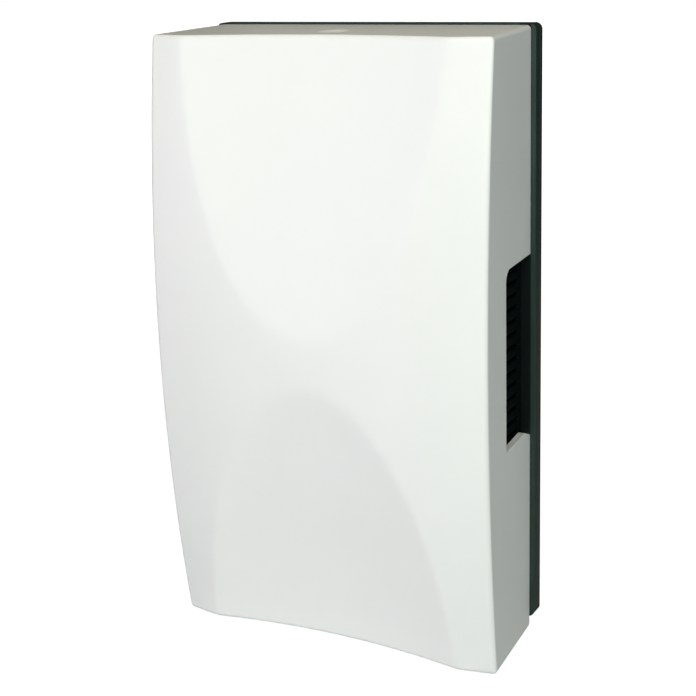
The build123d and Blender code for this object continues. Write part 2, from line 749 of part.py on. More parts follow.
striker_ends = {"left": (left_end, core_left), "right": (right_end, core_right)}
for side, name in sides:
    tip, root = striker_ends[name]
    with BuildPart() as striker_tip:
        # Half of the section, turned about the plunger's axis
        with BuildSketch(Plane(origin=(0, -strike_depth, 0), z_dir=(0, -1, 0), x_dir=(1, 0, 0))):
            nose_root = tip - side * striker_nose_length
            with BuildLine():
                Polyline(
                    (tip - side * striker_nose_radius, striker_nose_radius),
                    (nose_root, striker_nose_radius),
                    (nose_root - side * (striker_radius - striker_nose_radius), striker_radius),
                    (root, striker_radius),
                    (root, spigot_radius),
                    (root - side * spigot_length, spigot_radius),
                    (root - side * spigot_length, 0),
                    (tip, 0),
                )
                RadiusArc(
                    (tip, 0),
                    (tip - side * striker_nose_radius, striker_nose_radius),
                    side * striker_nose_radius,
                )
            make_face()
        revolve(axis=Axis((0, -strike_depth, 0), (1, 0, 0)))
        if name == "left":
            with BuildSketch(Plane.YZ.offset(shoulder_face)):
                with Locations((-strike_depth, 0)):
                    Circle(shoulder_radius)
            extrude(amount=-shoulder_thickness)
    striker_tip.part.label = f"striker_tip_{name}"
    export_step(striker_tip.part, f"parts/striker_tip_{name}.step")


# Return spring between the left striker's shoulder and the yoke
def helix_point(turn, start, pitch):
    angle = 2 * pi * turn
    return Vector(
        start + pitch * turn,
        spring_mean_radius * cos(angle) - strike_depth,
        spring_mean_radius * sin(angle),
    )


def helix_tangent(turn, pitch):
    angle = 2 * pi * turn
    around = 2 * pi * spring_mean_radius
    return Vector(pitch, -around * sin(angle), around * cos(angle)).normalized()


def biarc(start, start_tangent, end, end_tangent):
    # Two arcs that leave along the first tangent and arrive along the second.
    span = end - start
    both = start_tangent + end_tangent
    bend = 2 * (1 - start_tangent.dot(end_tangent))
    reach = (sqrt(span.dot(both) ** 2 + bend * span.dot(span)) - span.dot(both)) / bend
    first = start + start_tangent * reach
    last = end - end_tangent * reach
    joint = (first + last) / 2
    TangentArc(start, joint, tangent=start_tangent)
    TangentArc(joint, end, tangent=(last - first).normalized())


spring_start = shoulder_face + spring_wire / 2
spring_pitch = (spring_length - spring_wire) / spring_turns
half_turns = int(2 * spring_turns)
with BuildPart() as plunger_spring:
    with BuildLine() as spring_line:
        for half_turn in range(half_turns):
            turn = half_turn / 2
            biarc(
                helix_point(turn, spring_start, spring_pitch),
                helix_tangent(turn, spring_pitch),
                helix_point(turn + 1 / 2, spring_start, spring_pitch),
                helix_tangent(turn + 1 / 2, spring_pitch),
            )
    with BuildSketch(Plane(origin=spring_line.line @ 0, z_dir=spring_line.line % 0)):
        RegularPolygon(spring_wire / 2, wire_sides)
    sweep(path=spring_line.line)
plunger_spring.part.label = "plunger_spring"
export_step(plunger_spring.part, "parts/plunger_spring.step")
steps_per_turn = 32
step_count = int(steps_per_turn * spring_turns)
line_points = [spring_line.line @ (step / step_count) for step in range(step_count + 1)]
gaps = [
    (line_points[here] - line_points[there]).length - spring_wire
    for here in range(step_count + 1)
    for there in range(here + steps_per_turn // 2, step_count + 1)
]
print(f"plunger spring: {spring_turns} turns, least gap to itself {min(gaps):.2f} mm")

# Terminal block with a clamp for each wire
terminal_front = terminal_back + terminal_depth
clamp_depth = terminal_back + clamp_lift
clamp_places = (-terminal_pitch / 2, terminal_pitch / 2)
terminal_bottom = terminal_z - terminal_height / 2
with BuildPart() as terminal_block:
    with BuildSketch(Plane.XZ.offset(terminal_back)):
        with Locations((0, terminal_z)):
            Rectangle(terminal_width, terminal_height)
    extrude(amount=terminal_depth)
    chamfer(terminal_block.faces().sort_by(Axis.Y)[0].edges(), terminal_edge_chamfer)
    with BuildSketch(Plane.XY.offset(terminal_bottom - overrun)):
        with Locations(*[(place, -clamp_depth) for place in clamp_places]):
            Circle(clamp_radius)
    extrude(amount=terminal_height + 2 * overrun, mode=Mode.SUBTRACT)
    with BuildSketch(Plane.XZ.offset(clamp_depth)):
        with Locations(*[(place, terminal_z) for place in clamp_places]):
            Circle(clamp_well_radius)
    extrude(amount=terminal_depth, mode=Mode.SUBTRACT)
    with BuildSketch(Plane.XZ.offset(terminal_front - block_counterbore_depth)):
        with Locations((0, terminal_z)):
            Circle(block_counterbore_radius)
    extrude(amount=terminal_depth, mode=Mode.SUBTRACT)
    with BuildSketch(Plane.XZ.offset(terminal_back)):
        with Locations((0, terminal_z)):
            Circle(block_hole_radius)
    extrude(amount=terminal_depth, mode=Mode.SUBTRACT)
terminal_block.part.label = "terminal_block"
export_step(terminal_block.part, "parts/terminal_block.step")

clamp_length = terminal_height - 2 * clamp_inset
with BuildPart() as terminal_clamps:
    with BuildSketch(Plane.XY.offset(terminal_bottom + clamp_inset)):
        with Locations(*[(place, -clamp_depth) for place in clamp_places]):
            Circle(clamp_radius - snug_gap)
            Circle(clamp_bore_radius, mode=Mode.SUBTRACT)
    extrude(amount=clamp_length)
    with BuildSketch(Plane.XZ.offset(clamp_depth)):
        with Locations(*[(place, terminal_z) for place in clamp_places]):
            Circle(clamp_screw_radius + snug_gap)
    extrude(amount=terminal_depth, mode=Mode.SUBTRACT)
terminal_clamps.part.label = "terminal_clamps"
export_step(terminal_clamps.part, "parts/terminal_clamps.step")

clamp_head_back = terminal_front - clamp_screw_sink - clamp_screw_head_height
with BuildPart() as terminal_screws:
    with BuildSketch(Plane.XZ.offset(clamp_depth)):
        with Locations(*[(place, terminal_z) for place in clamp_places]):
            Circle(clamp_screw_radius)
    extrude(amount=clamp_head_back - clamp_depth)
    with BuildSketch(Plane.XZ.offset(clamp_head_back)):
        with Locations(*[(place, terminal_z) for place in clamp_places]):
            Circle(clamp_screw_head_radius)
    extrude(amount=clamp_screw_head_height)
    for place in clamp_places:
        top = Plane(
            origin=(place, -clamp_head_back - clamp_screw_head_height, terminal_z), z_dir=(0, -1, 0)
        )
        slot = drive_slot(top, clamp_screw_head_radius)
        extrude(slot, amount=-drive_slot_depth, mode=Mode.SUBTRACT)
terminal_screws.part.label = "terminal_screws"
export_step(terminal_screws.part, "parts/terminal_screws.step")

block_head_back = terminal_front - block_counterbore_depth
with BuildPart() as terminal_block_screw:
    with BuildSketch(Plane.XZ.offset(block_head_back)):
        with Locations((0, terminal_z)):
            Circle(block_screw_radius)
    extrude(amount=terminal_back - block_head_back - block_screw_grip)
    with BuildSketch(Plane.XZ.offset(block_head_back)):
        with Locations((0, terminal_z)):
            Circle(block_screw_head_radius)
    extrude(amount=block_screw_head_height)
    top = Plane(origin=(0, -block_head_back - block_screw_head_height, terminal_z), z_dir=(0, -1, 0))
    slot = drive_slot(top, block_screw_head_radius)
    extrude(slot, amount=-drive_slot_depth, mode=Mode.SUBTRACT)
terminal_block_screw.part.label = "terminal_block_screw"
export_step(terminal_block_screw.part, "parts/terminal_block_screw.step")

# Leads from the coil's tags into the terminal block
lead_radius = lead_diameter / 2
lead_low = terminal_bottom + terminal_height - clamp_inset
lead_fall = tag_tip - lead_low
for side, name in sides:
    tag_x = coil_place + side * tag_place
    clamp_x = side * terminal_pitch / 2
    lead_points = [
        (tag_x, -strike_depth, tag_tip),
        (tag_x, -strike_depth, tag_tip - lead_drop_share * lead_fall),
        (clamp_x, -clamp_depth, lead_low + lead_entry_share * lead_fall),
        (clamp_x, -clamp_depth, lead_low),
    ]
    with BuildPart() as coil_lead:
        with BuildLine() as lead_line:
            runs = [(Vector(b) - Vector(a)) for a, b in zip(lead_points, lead_points[1:])]
            radii = []
            for before, after in zip(runs, runs[1:]):
                half_turn = radians(before.get_angle(after)) / 2
                shorter = min(before.length, after.length)
                radii.append(lead_arc_share * shorter * cos(half_turn) / sin(half_turn))
            FilletPolyline(*lead_points, radius=radii)
        with BuildSketch(Plane(origin=lead_line.line @ 0, z_dir=lead_line.line % 0)):
            RegularPolygon(lead_radius, wire_sides)
        sweep(path=lead_line.line)
    coil_lead.part.label = f"coil_lead_{name}"
    export_step(coil_lead.part, f"parts/coil_lead_{name}.step")
    print(f"coil lead {name}: radii", [round(radius, 1) for radius in radii])
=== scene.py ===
import json
from math import cos, pi, radians, sin, sqrt, tan
import bmesh
import bpy
from mathutils import Matrix, Vector


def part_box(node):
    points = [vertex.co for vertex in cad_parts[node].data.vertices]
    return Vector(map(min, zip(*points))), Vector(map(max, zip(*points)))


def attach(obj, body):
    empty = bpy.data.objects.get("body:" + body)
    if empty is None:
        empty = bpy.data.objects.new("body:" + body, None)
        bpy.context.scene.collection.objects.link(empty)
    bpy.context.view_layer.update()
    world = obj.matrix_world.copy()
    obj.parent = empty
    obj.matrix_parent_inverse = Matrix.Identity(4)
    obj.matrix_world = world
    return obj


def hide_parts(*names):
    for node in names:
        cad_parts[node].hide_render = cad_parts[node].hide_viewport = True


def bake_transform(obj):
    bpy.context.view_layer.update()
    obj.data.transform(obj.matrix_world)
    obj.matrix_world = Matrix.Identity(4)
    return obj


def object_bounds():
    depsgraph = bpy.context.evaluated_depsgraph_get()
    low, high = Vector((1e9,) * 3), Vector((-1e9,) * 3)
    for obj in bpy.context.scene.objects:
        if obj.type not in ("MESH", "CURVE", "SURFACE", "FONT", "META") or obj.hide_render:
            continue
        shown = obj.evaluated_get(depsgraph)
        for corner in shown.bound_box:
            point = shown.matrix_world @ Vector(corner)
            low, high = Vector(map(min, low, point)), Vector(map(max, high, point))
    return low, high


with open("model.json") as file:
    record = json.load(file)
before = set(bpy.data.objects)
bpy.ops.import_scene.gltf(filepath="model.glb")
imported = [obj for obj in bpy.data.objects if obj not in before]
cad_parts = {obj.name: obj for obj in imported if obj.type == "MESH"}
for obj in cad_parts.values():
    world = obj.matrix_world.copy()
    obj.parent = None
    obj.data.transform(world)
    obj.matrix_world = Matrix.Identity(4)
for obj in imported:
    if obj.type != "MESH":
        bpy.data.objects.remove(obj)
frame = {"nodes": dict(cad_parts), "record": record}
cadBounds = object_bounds()
print("frame loaded:", len(frame["nodes"]), "nodes")

mm = 0.001
weldDistance = 0.001 * mm

# The cover's middle stands a little lower than the base's, which is the origin.
coverLow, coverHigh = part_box("cover")
coverMiddle = (coverLow.z + coverHigh.z) / 2


# Arithmetic on node sockets, so that a rule reads as a formula. Each operation adds a Math node.


def mathOf(operation):
    return lambda field, *others: field.combine(operation, *others)


class Field:
    __add__, __sub__ = mathOf("ADD"), mathOf("SUBTRACT")
    __mul__, __truediv__ = mathOf("MULTIPLY"), mathOf("DIVIDE")
    root, power = mathOf("SQRT"), mathOf("POWER")
    size, sign, fraction = mathOf("ABSOLUTE"), mathOf("SIGN"), mathOf("FRACT")
    sine, cosine = mathOf("SINE"), mathOf("COSINE")
    least, most = mathOf("MINIMUM"), mathOf("MAXIMUM")

    def __init__(self, tree, socket):
        self.tree = tree
        self.socket = socket

    def __neg__(self):
        return self * -1

    def square(self):
        return self * self

    def combine(self, operation, *others):
        node = self.tree.nodes.new("ShaderNodeMath")
        node.operation = operation
        return self.feed(node, *others)

    def ramp(self, fromLow, fromHigh, toLow, toHigh):
        return self.feed(self.tree.nodes.new("ShaderNodeMapRange"), fromLow, fromHigh, toLow, toHigh)

    def feed(self, node, *others):
        for place, value in enumerate((self, *others)):
            if isinstance(value, Field):
                self.tree.links.new(value.socket, node.inputs[place])
            else:
                node.inputs[place].default_value = value
        return Field(self.tree, node.outputs[0])


def newGeometryTree(name, sizes):
    tree = bpy.data.node_groups.new(name, "GeometryNodeTree")
    tree.interface.new_socket("Geometry", in_out="OUTPUT", socket_type="NodeSocketGeometry")
    kinds = {int: "NodeSocketInt", float: "NodeSocketFloat", tuple: "NodeSocketVector"}
    for label, value in sizes.items():
        socket = tree.interface.new_socket(label, in_out="INPUT", socket_type=kinds[type(value)])
        socket.default_value = value
    tree.interface.new_socket("Finish", in_out="INPUT", socket_type="NodeSocketMaterial")
    start = tree.nodes.new("NodeGroupInput")
    fields = {label: Field(tree, start.outputs[label]) for label in sizes}
    return tree, fields, start.outputs["Finish"]


def addNode(tree, kind, settings=None, **sockets):
    node = tree.nodes.new(kind)
    for key, value in (settings or {}).items():
        setattr(node, key, value)
    for key, value in sockets.items():
        socket = node.inputs[int(key[1:])] if key[0] == "i" and key[1:].isdigit() else node.inputs[key]
        if isinstance(value, Field):
            tree.links.new(value.socket, socket)
        elif isinstance(value, bpy.types.NodeSocket):
            tree.links.new(value, socket)
        else:
            socket.default_value = value
    return node


def partsOf(tree, vector):
    return [Field(tree, part) for part in addNode(tree, "ShaderNodeSeparateXYZ", Vector=vector).outputs]


def pointParts(tree):
    return partsOf(tree, tree.nodes.new("GeometryNodeInputPosition").outputs[0])


def unitGrid(tree, around, along):
    # Grid that a rule bends, with both of its shares from 0 to 1
    grid = addNode(
        tree,
        "GeometryNodeMeshGrid",
        **{"Size X": 1.0, "Size Y": 1.0, "Vertices X": around + 1, "Vertices Y": along + 1},
    )
    across, up = pointParts(tree)[:2]
    return grid.outputs["Mesh"], across + 0.5, up + 0.5


def vectorOf(tree, x, y, z):
    return addNode(tree, "ShaderNodeCombineXYZ", X=x, Y=y, Z=z).outputs[0]


def bend(tree, mesh, x, y, z):
    position = vectorOf(tree, x, y, z)
    return addNode(tree, "GeometryNodeSetPosition", Geometry=mesh, Position=position).outputs[0]


def shifted(tree, geometry, offset):
    return addNode(tree, "GeometryNodeTransform", Geometry=geometry, Translation=offset).outputs[0]


def welded(tree, geometry, distance=weldDistance):
    return addNode(tree, "GeometryNodeMergeByDistance", Geometry=geometry, Distance=distance).outputs[0]


def copiesInLine(tree, shape, count, first, step, turn=(0.0, 0.0, 0.0)):
    line = addNode(tree, "GeometryNodeMeshLine", Count=count, Offset=step, **{"Start Location": first})
    kind = "GeometryNodeInstanceOnPoints"
    return addNode(tree, kind, Points=line.outputs[0], Instance=shape.outputs[0], Rotation=turn).outputs[0]


def closeTree(tree, geometry, finish):
    realize = addNode(tree, "GeometryNodeRealizeInstances", Geometry=geometry)
    dressed = addNode(tree, "GeometryNodeSetMaterial", Geometry=realize.outputs[0], Material=finish)
    end = tree.nodes.new("NodeGroupOutput")
    tree.links.new(dressed.outputs[0], end.inputs[0])


def newObject(name, data):
    made = bpy.data.objects.new(name, data)
    bpy.context.scene.collection.objects.link(made)
    return made


def meshFromTree(name, tree, sizes, finish):
    # The modifier's result becomes a plain mesh object.
    holder = newObject(name + "Holder", bpy.data.meshes.new(name + "Holder"))
    modifier = holder.modifiers.new("Rule", "NODES")
    modifier.node_group = tree
    for item in tree.interface.items_tree:
        if item.in_out == "INPUT":
            modifier[item.identifier] = finish if item.name == "Finish" else sizes[item.name]
    return plainObject(name, holder)


def plainObject(name, source):
    # Copy of an object as it looks with its modifiers, and the source goes.
    bpy.context.view_layer.update()
    evaluated = source.evaluated_get(bpy.context.evaluated_depsgraph_get())
    mesh = bpy.data.meshes.new_from_object(evaluated)
    mesh.name = name
    bpy.data.objects.remove(source)
    return newObject(name, mesh)


def meshObject(name, points, faces, finish=None):
    mesh = bpy.data.meshes.new(name)
    mesh.from_pydata([tuple(point) for point in points], [], faces)
    if finish:
        mesh.materials.append(finish)
    made = newObject(name, mesh)
    turnFacesOut(made)
    return made


def turnFacesOut(piece):
    work = bmesh.new()
    work.from_mesh(piece.data)
    bmesh.ops.remove_doubles(work, verts=work.verts, dist=weldDistance)
    bmesh.ops.recalc_face_normals(work, faces=work.faces)
    work.to_mesh(piece.data)
    work.free()


sharpAngles = {
    "usual": radians(30),
    "cover": radians(28),
    "spring": radians(50),
    "winding": radians(80),
    "grille": radians(35),
    "grilleBevel": radians(50),
    "frameNodes": radians(25),
    "frameBevels": radians(40),
}


def smoothWithEdges(piece, sharpAngle, alsoSharp=None):
    work = bmesh.new()
    work.from_mesh(piece.data)
    for face in work.faces:
        face.smooth = True
    for edge in work.edges:
        turned = len(edge.link_faces) == 2 and edge.calc_face_angle(0) > sharpAngle
        edge.smooth = not (turned or (alsoSharp and alsoSharp(edge)))
    work.to_mesh(piece.data)
    work.free()


def addBevel(piece, width, sharpAngle):
    bevel = piece.modifiers.new("Edge", "BEVEL")
    bevel.width = width
    bevel.segments = 2
    bevel.limit_method = "ANGLE"
    bevel.angle_limit = sharpAngle


# Shader groups that several finishes share


def newShaderGroup(name, inputs, outputs):
    tree = bpy.data.node_groups.new(name, "ShaderNodeTree")
    for label, value in inputs.items():
        tree.interface.new_socket(label, in_out="INPUT", socket_type="NodeSocketFloat").default_value = value
    for label in outputs:
        tree.interface.new_socket(label, in_out="OUTPUT", socket_type="NodeSocketFloat")
    start = tree.nodes.new("NodeGroupInput")
    end = tree.nodes.new("NodeGroupOutput")
    return tree, {label: start.outputs[label] for label in inputs}, end


def objectPlace(tree):
    return tree.nodes.new("ShaderNodeTexCoord").outputs["Object"]


def noiseField(tree, vector, scale, detail, roughness=0.5):
    node = addNode(tree, "ShaderNodeTexNoise", Vector=vector, Scale=scale, Detail=detail, Roughness=roughness)
    return Field(tree, node.outputs["Fac"])


def toneOf(field):
    # The middle of a noise, spread over 0 to 1
    return field.ramp(0.3, 0.7, 0, 1).socket


def buildMouldedGrain():
    # Fine spark-erosion grain with slow waves in the tool's polish
    sizes = {"Grain Scale": 2500.0, "Wave Scale": 45.0, "Wave Share": 0.3}
    tree, given, end = newShaderGroup("mouldedGrain", sizes, ["Height", "Tone"])
    where = objectPlace(tree)
    grain = noiseField(tree, where, given["Grain Scale"], 3.0, 0.6)
    wave = noiseField(tree, where, given["Wave Scale"], 2.0)
    share = Field(tree, given["Wave Share"])
    height = grain * (-share + 1) + wave * share
    tree.links.new(height.socket, end.inputs["Height"])
    tree.links.new(toneOf(wave), end.inputs["Tone"])
    return tree


def buildDrawnLines():
    # Lines that rolling or grinding leaves along one axis
    sizes = {"Line Scale": 900.0, "Along X": 1.0, "Along Y": 1.0, "Along Z": 0.02}
    tree, given, end = newShaderGroup("drawnLines", sizes, ["Height", "Tone"])
    where = objectPlace(tree)
    stretch = vectorOf(tree, given["Along X"], given["Along Y"], given["Along Z"])
    lines = addNode(tree, "ShaderNodeVectorMath", {"operation": "MULTIPLY"}, i0=where, i1=stretch)
    fine = noiseField(tree, lines.outputs[0], given["Line Scale"], 4.0, 0.7)
    cloud = noiseField(tree, where, 60.0, 2.0)
    tree.links.new(fine.socket, end.inputs["Height"])
    tree.links.new(toneOf(fine * 0.5 + cloud * 0.5), end.inputs["Tone"])
    return tree


mouldedGrain = buildMouldedGrain()
drawnLines = buildDrawnLines()


roughSpread = 0.03
grainDepth = 0.05 * mm
lineDepth = 0.03 * mm


def newFinish(name, group, groupValues, dark, light, rough, bump, bumpDepth, metallic=0.0, ior=1.5):
    # A finish: two nearby colours and roughnesses mixed by the group's tone, and bump from its height
    finish = bpy.data.materials.new(name)
    finish.use_nodes = True
    tree = finish.node_tree
    shader = tree.nodes["Principled BSDF"]
    effect = tree.nodes.new("ShaderNodeGroup")
    effect.node_tree = group
    for label, value in groupValues.items():
        effect.inputs[label].default_value = value
    tone, height = effect.outputs["Tone"], effect.outputs["Height"]
    colour = addNode(tree, "ShaderNodeMix", {"data_type": "RGBA"}, i0=tone, i6=(*dark, 1), i7=(*light, 1))
    tree.links.new(colour.outputs[2], shader.inputs["Base Color"])
    sheen = Field(tree, tone).ramp(0, 1, rough - roughSpread, rough + roughSpread)
    tree.links.new(sheen.socket, shader.inputs["Roughness"])
    relief = addNode(tree, "ShaderNodeBump", Strength=bump, Distance=bumpDepth, Height=height)
    tree.links.new(relief.outputs[0], shader.inputs["Normal"])
    shader.inputs["Metallic"].default_value = metallic
    shader.inputs["IOR"].default_value = ior
    return finish


def plastic(name, dark, light, rough, bump=0.25, grain=2500.0, ior=1.5):
    sizes = {"Grain Scale": grain}
    return newFinish(name, mouldedGrain, sizes, dark, light, rough, bump, grainDepth, ior=ior)


def metal(name, dark, light, rough, bump=0.2, lines=(1.0, 1.0, 0.02), lineScale=900.0):
    sizes = {"Line Scale": lineScale, "Along X": lines[0], "Along Y": lines[1], "Along Z": lines[2]}
    return newFinish(name, drawnLines, sizes, dark, light, rough, bump, lineDepth, metallic=1.0)


finishes = {
    "cover_white": plastic("coverWhite", (0.862, 0.882, 0.868), (0.876, 0.894, 0.882), 0.42, 0.12),
    "base_black": plastic("baseDark", (0.017, 0.031, 0.027), (0.022, 0.038, 0.033), 0.5, 0.3, 1600.0, 1.3),
    "grille_black": plastic(
        "grilleDark", (0.0015, 0.004, 0.0038), (0.0022, 0.0052, 0.005), 0.7, 0.3, 1600.0, 1.15
    ),
    "bar_steel": metal("barSteel", (0.66, 0.66, 0.65), (0.72, 0.72, 0.7), 0.38),
    "grommet_rubber": plastic("grommetRubber", (0.02, 0.02, 0.02), (0.03, 0.03, 0.03), 0.75, 0.4, 1200.0),
    "screw_zinc": metal(
        "screwZinc", (0.5, 0.5, 0.48), (0.62, 0.61, 0.58), 0.28, 0.15, (1.0, 1.0, 1.0), 500.0
    ),
    "yoke_zinc": metal("yokeZinc", (0.55, 0.53, 0.42), (0.66, 0.63, 0.5), 0.32, 0.2, (0.05, 1.0, 1.0)),
    "bobbin_nylon": plastic("bobbinNylon", (0.62, 0.6, 0.52), (0.68, 0.66, 0.58), 0.45, 0.2),
    "winding_copper": metal("windingCopper", (0.45, 0.16, 0.07), (0.58, 0.22, 0.1), 0.25, 0.1),
    "tape_yellow": plastic("tapeYellow", (0.75, 0.5, 0.06), (0.8, 0.56, 0.09), 0.35, 0.3, 900.0),
    "tag_brass": metal("tagTinned", (0.6, 0.56, 0.48), (0.7, 0.66, 0.58), 0.3),
    "core_iron": metal("coreIron", (0.36, 0.35, 0.34), (0.45, 0.44, 0.42), 0.36, 0.2, (0.03, 1.0, 1.0)),
    "striker_nylon": plastic("strikerNylon", (0.72, 0.71, 0.66), (0.78, 0.77, 0.72), 0.4, 0.15),
    "spring_steel": metal("springSteel", (0.5, 0.5, 0.5), (0.62, 0.62, 0.62), 0.22),
    "terminal_plastic": plastic("terminalGrey", (0.3, 0.31, 0.31), (0.34, 0.35, 0.35), 0.45, 0.25),
    "clamp_brass": metal("clampBrass", (0.58, 0.42, 0.18), (0.7, 0.52, 0.24), 0.3, 0.2, (1.0, 1.0, 0.05)),
    "lead_insulation": plastic("leadInsulation", (0.5, 0.03, 0.02), (0.58, 0.05, 0.03), 0.4, 0.2),
}
slotOf = {part["node"]: part["material_slot"] for part in frame["record"]["subparts"]}

# Painted light and shade in the base's colour by place: painted shade in the gutter beside the grille, a
# painted lighter ledge outside the cover that grows lighter upwards, a painted shade line round the side and
# a painted shadow at the wall edge
basePaintedShade = {
    "Gutter Start": 49.6 * mm,
    "Ledge Start": 53.25 * mm,
    "Front Depth": 4.75 * mm,
    "Gutter Painted Shade": 0.2,
    "Ledge Painted Light": 1.35,
    "Ledge Painted Light Rise": 2.2,
    "Line Depth": 3.3 * mm,
    "Line Width": 1.0 * mm,
    "Line Painted Shade": 0.65,
    "Side Painted Light": 1.15,
    "Rear Depth": 0.7 * mm,
    "Rear Painted Shadow": 0.25,
    "Softness": 0.15 * mm,
}


def buildBasePaintedShade():
    # Factor that scales the base's colour: painted shade in the gutter, painted light on the ledge and
    # towards the top, a painted shade line and a painted shadow at the wall edge
    tree, given, end = newShaderGroup("basePaintedShade", basePaintedShade, ["Shade"])
    values = {label: Field(tree, socket) for label, socket in given.items()}
    x, y, height = partsOf(tree, objectPlace(tree))
    across, depth, soft = x.size(), -y, values["Softness"]
    gutterStart, ledgeStart = values["Gutter Start"], values["Ledge Start"]
    # Painted shade: the gutter between the grille and the cover's wall is darkened in colour where the cover
    # shades it
    gutterPaintedShade = across.ramp(gutterStart - soft, gutterStart + soft, 1, values["Gutter Painted Shade"])
    outside = across.ramp(ledgeStart - soft, ledgeStart + soft, 0, 1)
    # Painted light: the ledge outside the cover is lightened in colour, more so towards the top where light
    # falls from above
    ledgePaintedLight = values["Ledge Painted Light"] + values["Ledge Painted Light Rise"] * height
    front = gutterPaintedShade * (-outside + 1) + ledgePaintedLight * outside
    # Painted shade: a dark line round the base's side, with the rest of the side painted lighter
    near = ((depth - values["Line Depth"]).size() / values["Line Width"]).least(1)
    side = near.ramp(0, 1, values["Line Painted Shade"], values["Side Painted Light"])
    # Painted shadow: a thin dark band at the wall-side edge of the base's outer side
    rear = depth.ramp(values["Rear Depth"] - soft, values["Rear Depth"] + soft, values["Rear Painted Shadow"], 1)
    rim = across.ramp(ledgeStart, ledgeStart + soft * 6, 0, 1)
    side = side * (rim * (rear - 1) + 1)
    isFront = depth.ramp(values["Front Depth"] - soft * 2, values["Front Depth"], 0, 1)
    paintedShade = side * (-isFront + 1) + front * isFront
    tree.links.new(paintedShade.socket, end.inputs["Shade"])
    return tree


def paintBaseShade():
    tree = finishes["base_black"].node_tree
    colour = tree.nodes["Principled BSDF"].inputs["Base Color"]
    paintedShadeGroup = tree.nodes.new("ShaderNodeGroup")
    paintedShadeGroup.node_tree = buildBasePaintedShade()
    plain = colour.links[0].from_socket
    # The base's colour is scaled here by the painted light and shade
    scaled = addNode(tree, "ShaderNodeVectorMath", {"operation": "SCALE"}, i0=plain, Scale=paintedShadeGroup.outputs[0])
    tree.links.new(scaled.outputs[0], colour)


paintBaseShade()
print("finishes made:", len(finishes))


# Cover: a rounded box in a lattice, bent to the rule of its bowed front and two scoops

cover = {
    "Height": 190.5 * mm,
    "Width": 111.9 * mm,
    "Corner Depth": 39.5 * mm,
    "Rim Depth": 5.2 * mm,
    "Side Flare": 2.85 * mm,
    "End Draft": 0.5 * mm,
    "Bow Rise": 7.35 * mm,
    "Barrel Rise": 6.0 * mm,
    "Belt Height": 15.2 * mm,
    "Scoop End Depth": 37.2 * mm,
    "Scoop Radius": 207.0 * mm,
    "Ridge Softness": 0.5 * mm,
    "Edge Spread": 1.25,
}
# The inner skin runs out behind the rim, so that it cuts the cover open there.
coverSkins = {
    "outer": {
        "Inset": 0.0,
        "Back Depth": cover["Rim Depth"],
        "Corner Round": 1.4 * mm,
        "Front Round": 1.0 * mm,
        "Edge Steps": 8,
        "Across": 150,
        "Up": 250,
        "Deep": 24,
    },
    "inner": {
        "Inset": 2.2 * mm,
        "Back Depth": cover["Rim Depth"] - 3.0 * mm,
        "Corner Round": 0.6 * mm,
        "Front Round": 0.5 * mm,
        "Edge Steps": 3,
        "Across": 50,
        "Up": 84,
        "Deep": 14,
    },
}


def arcRadius(chord, rise):
    return (chord * chord / 4 + rise * rise) / (rise * 2)


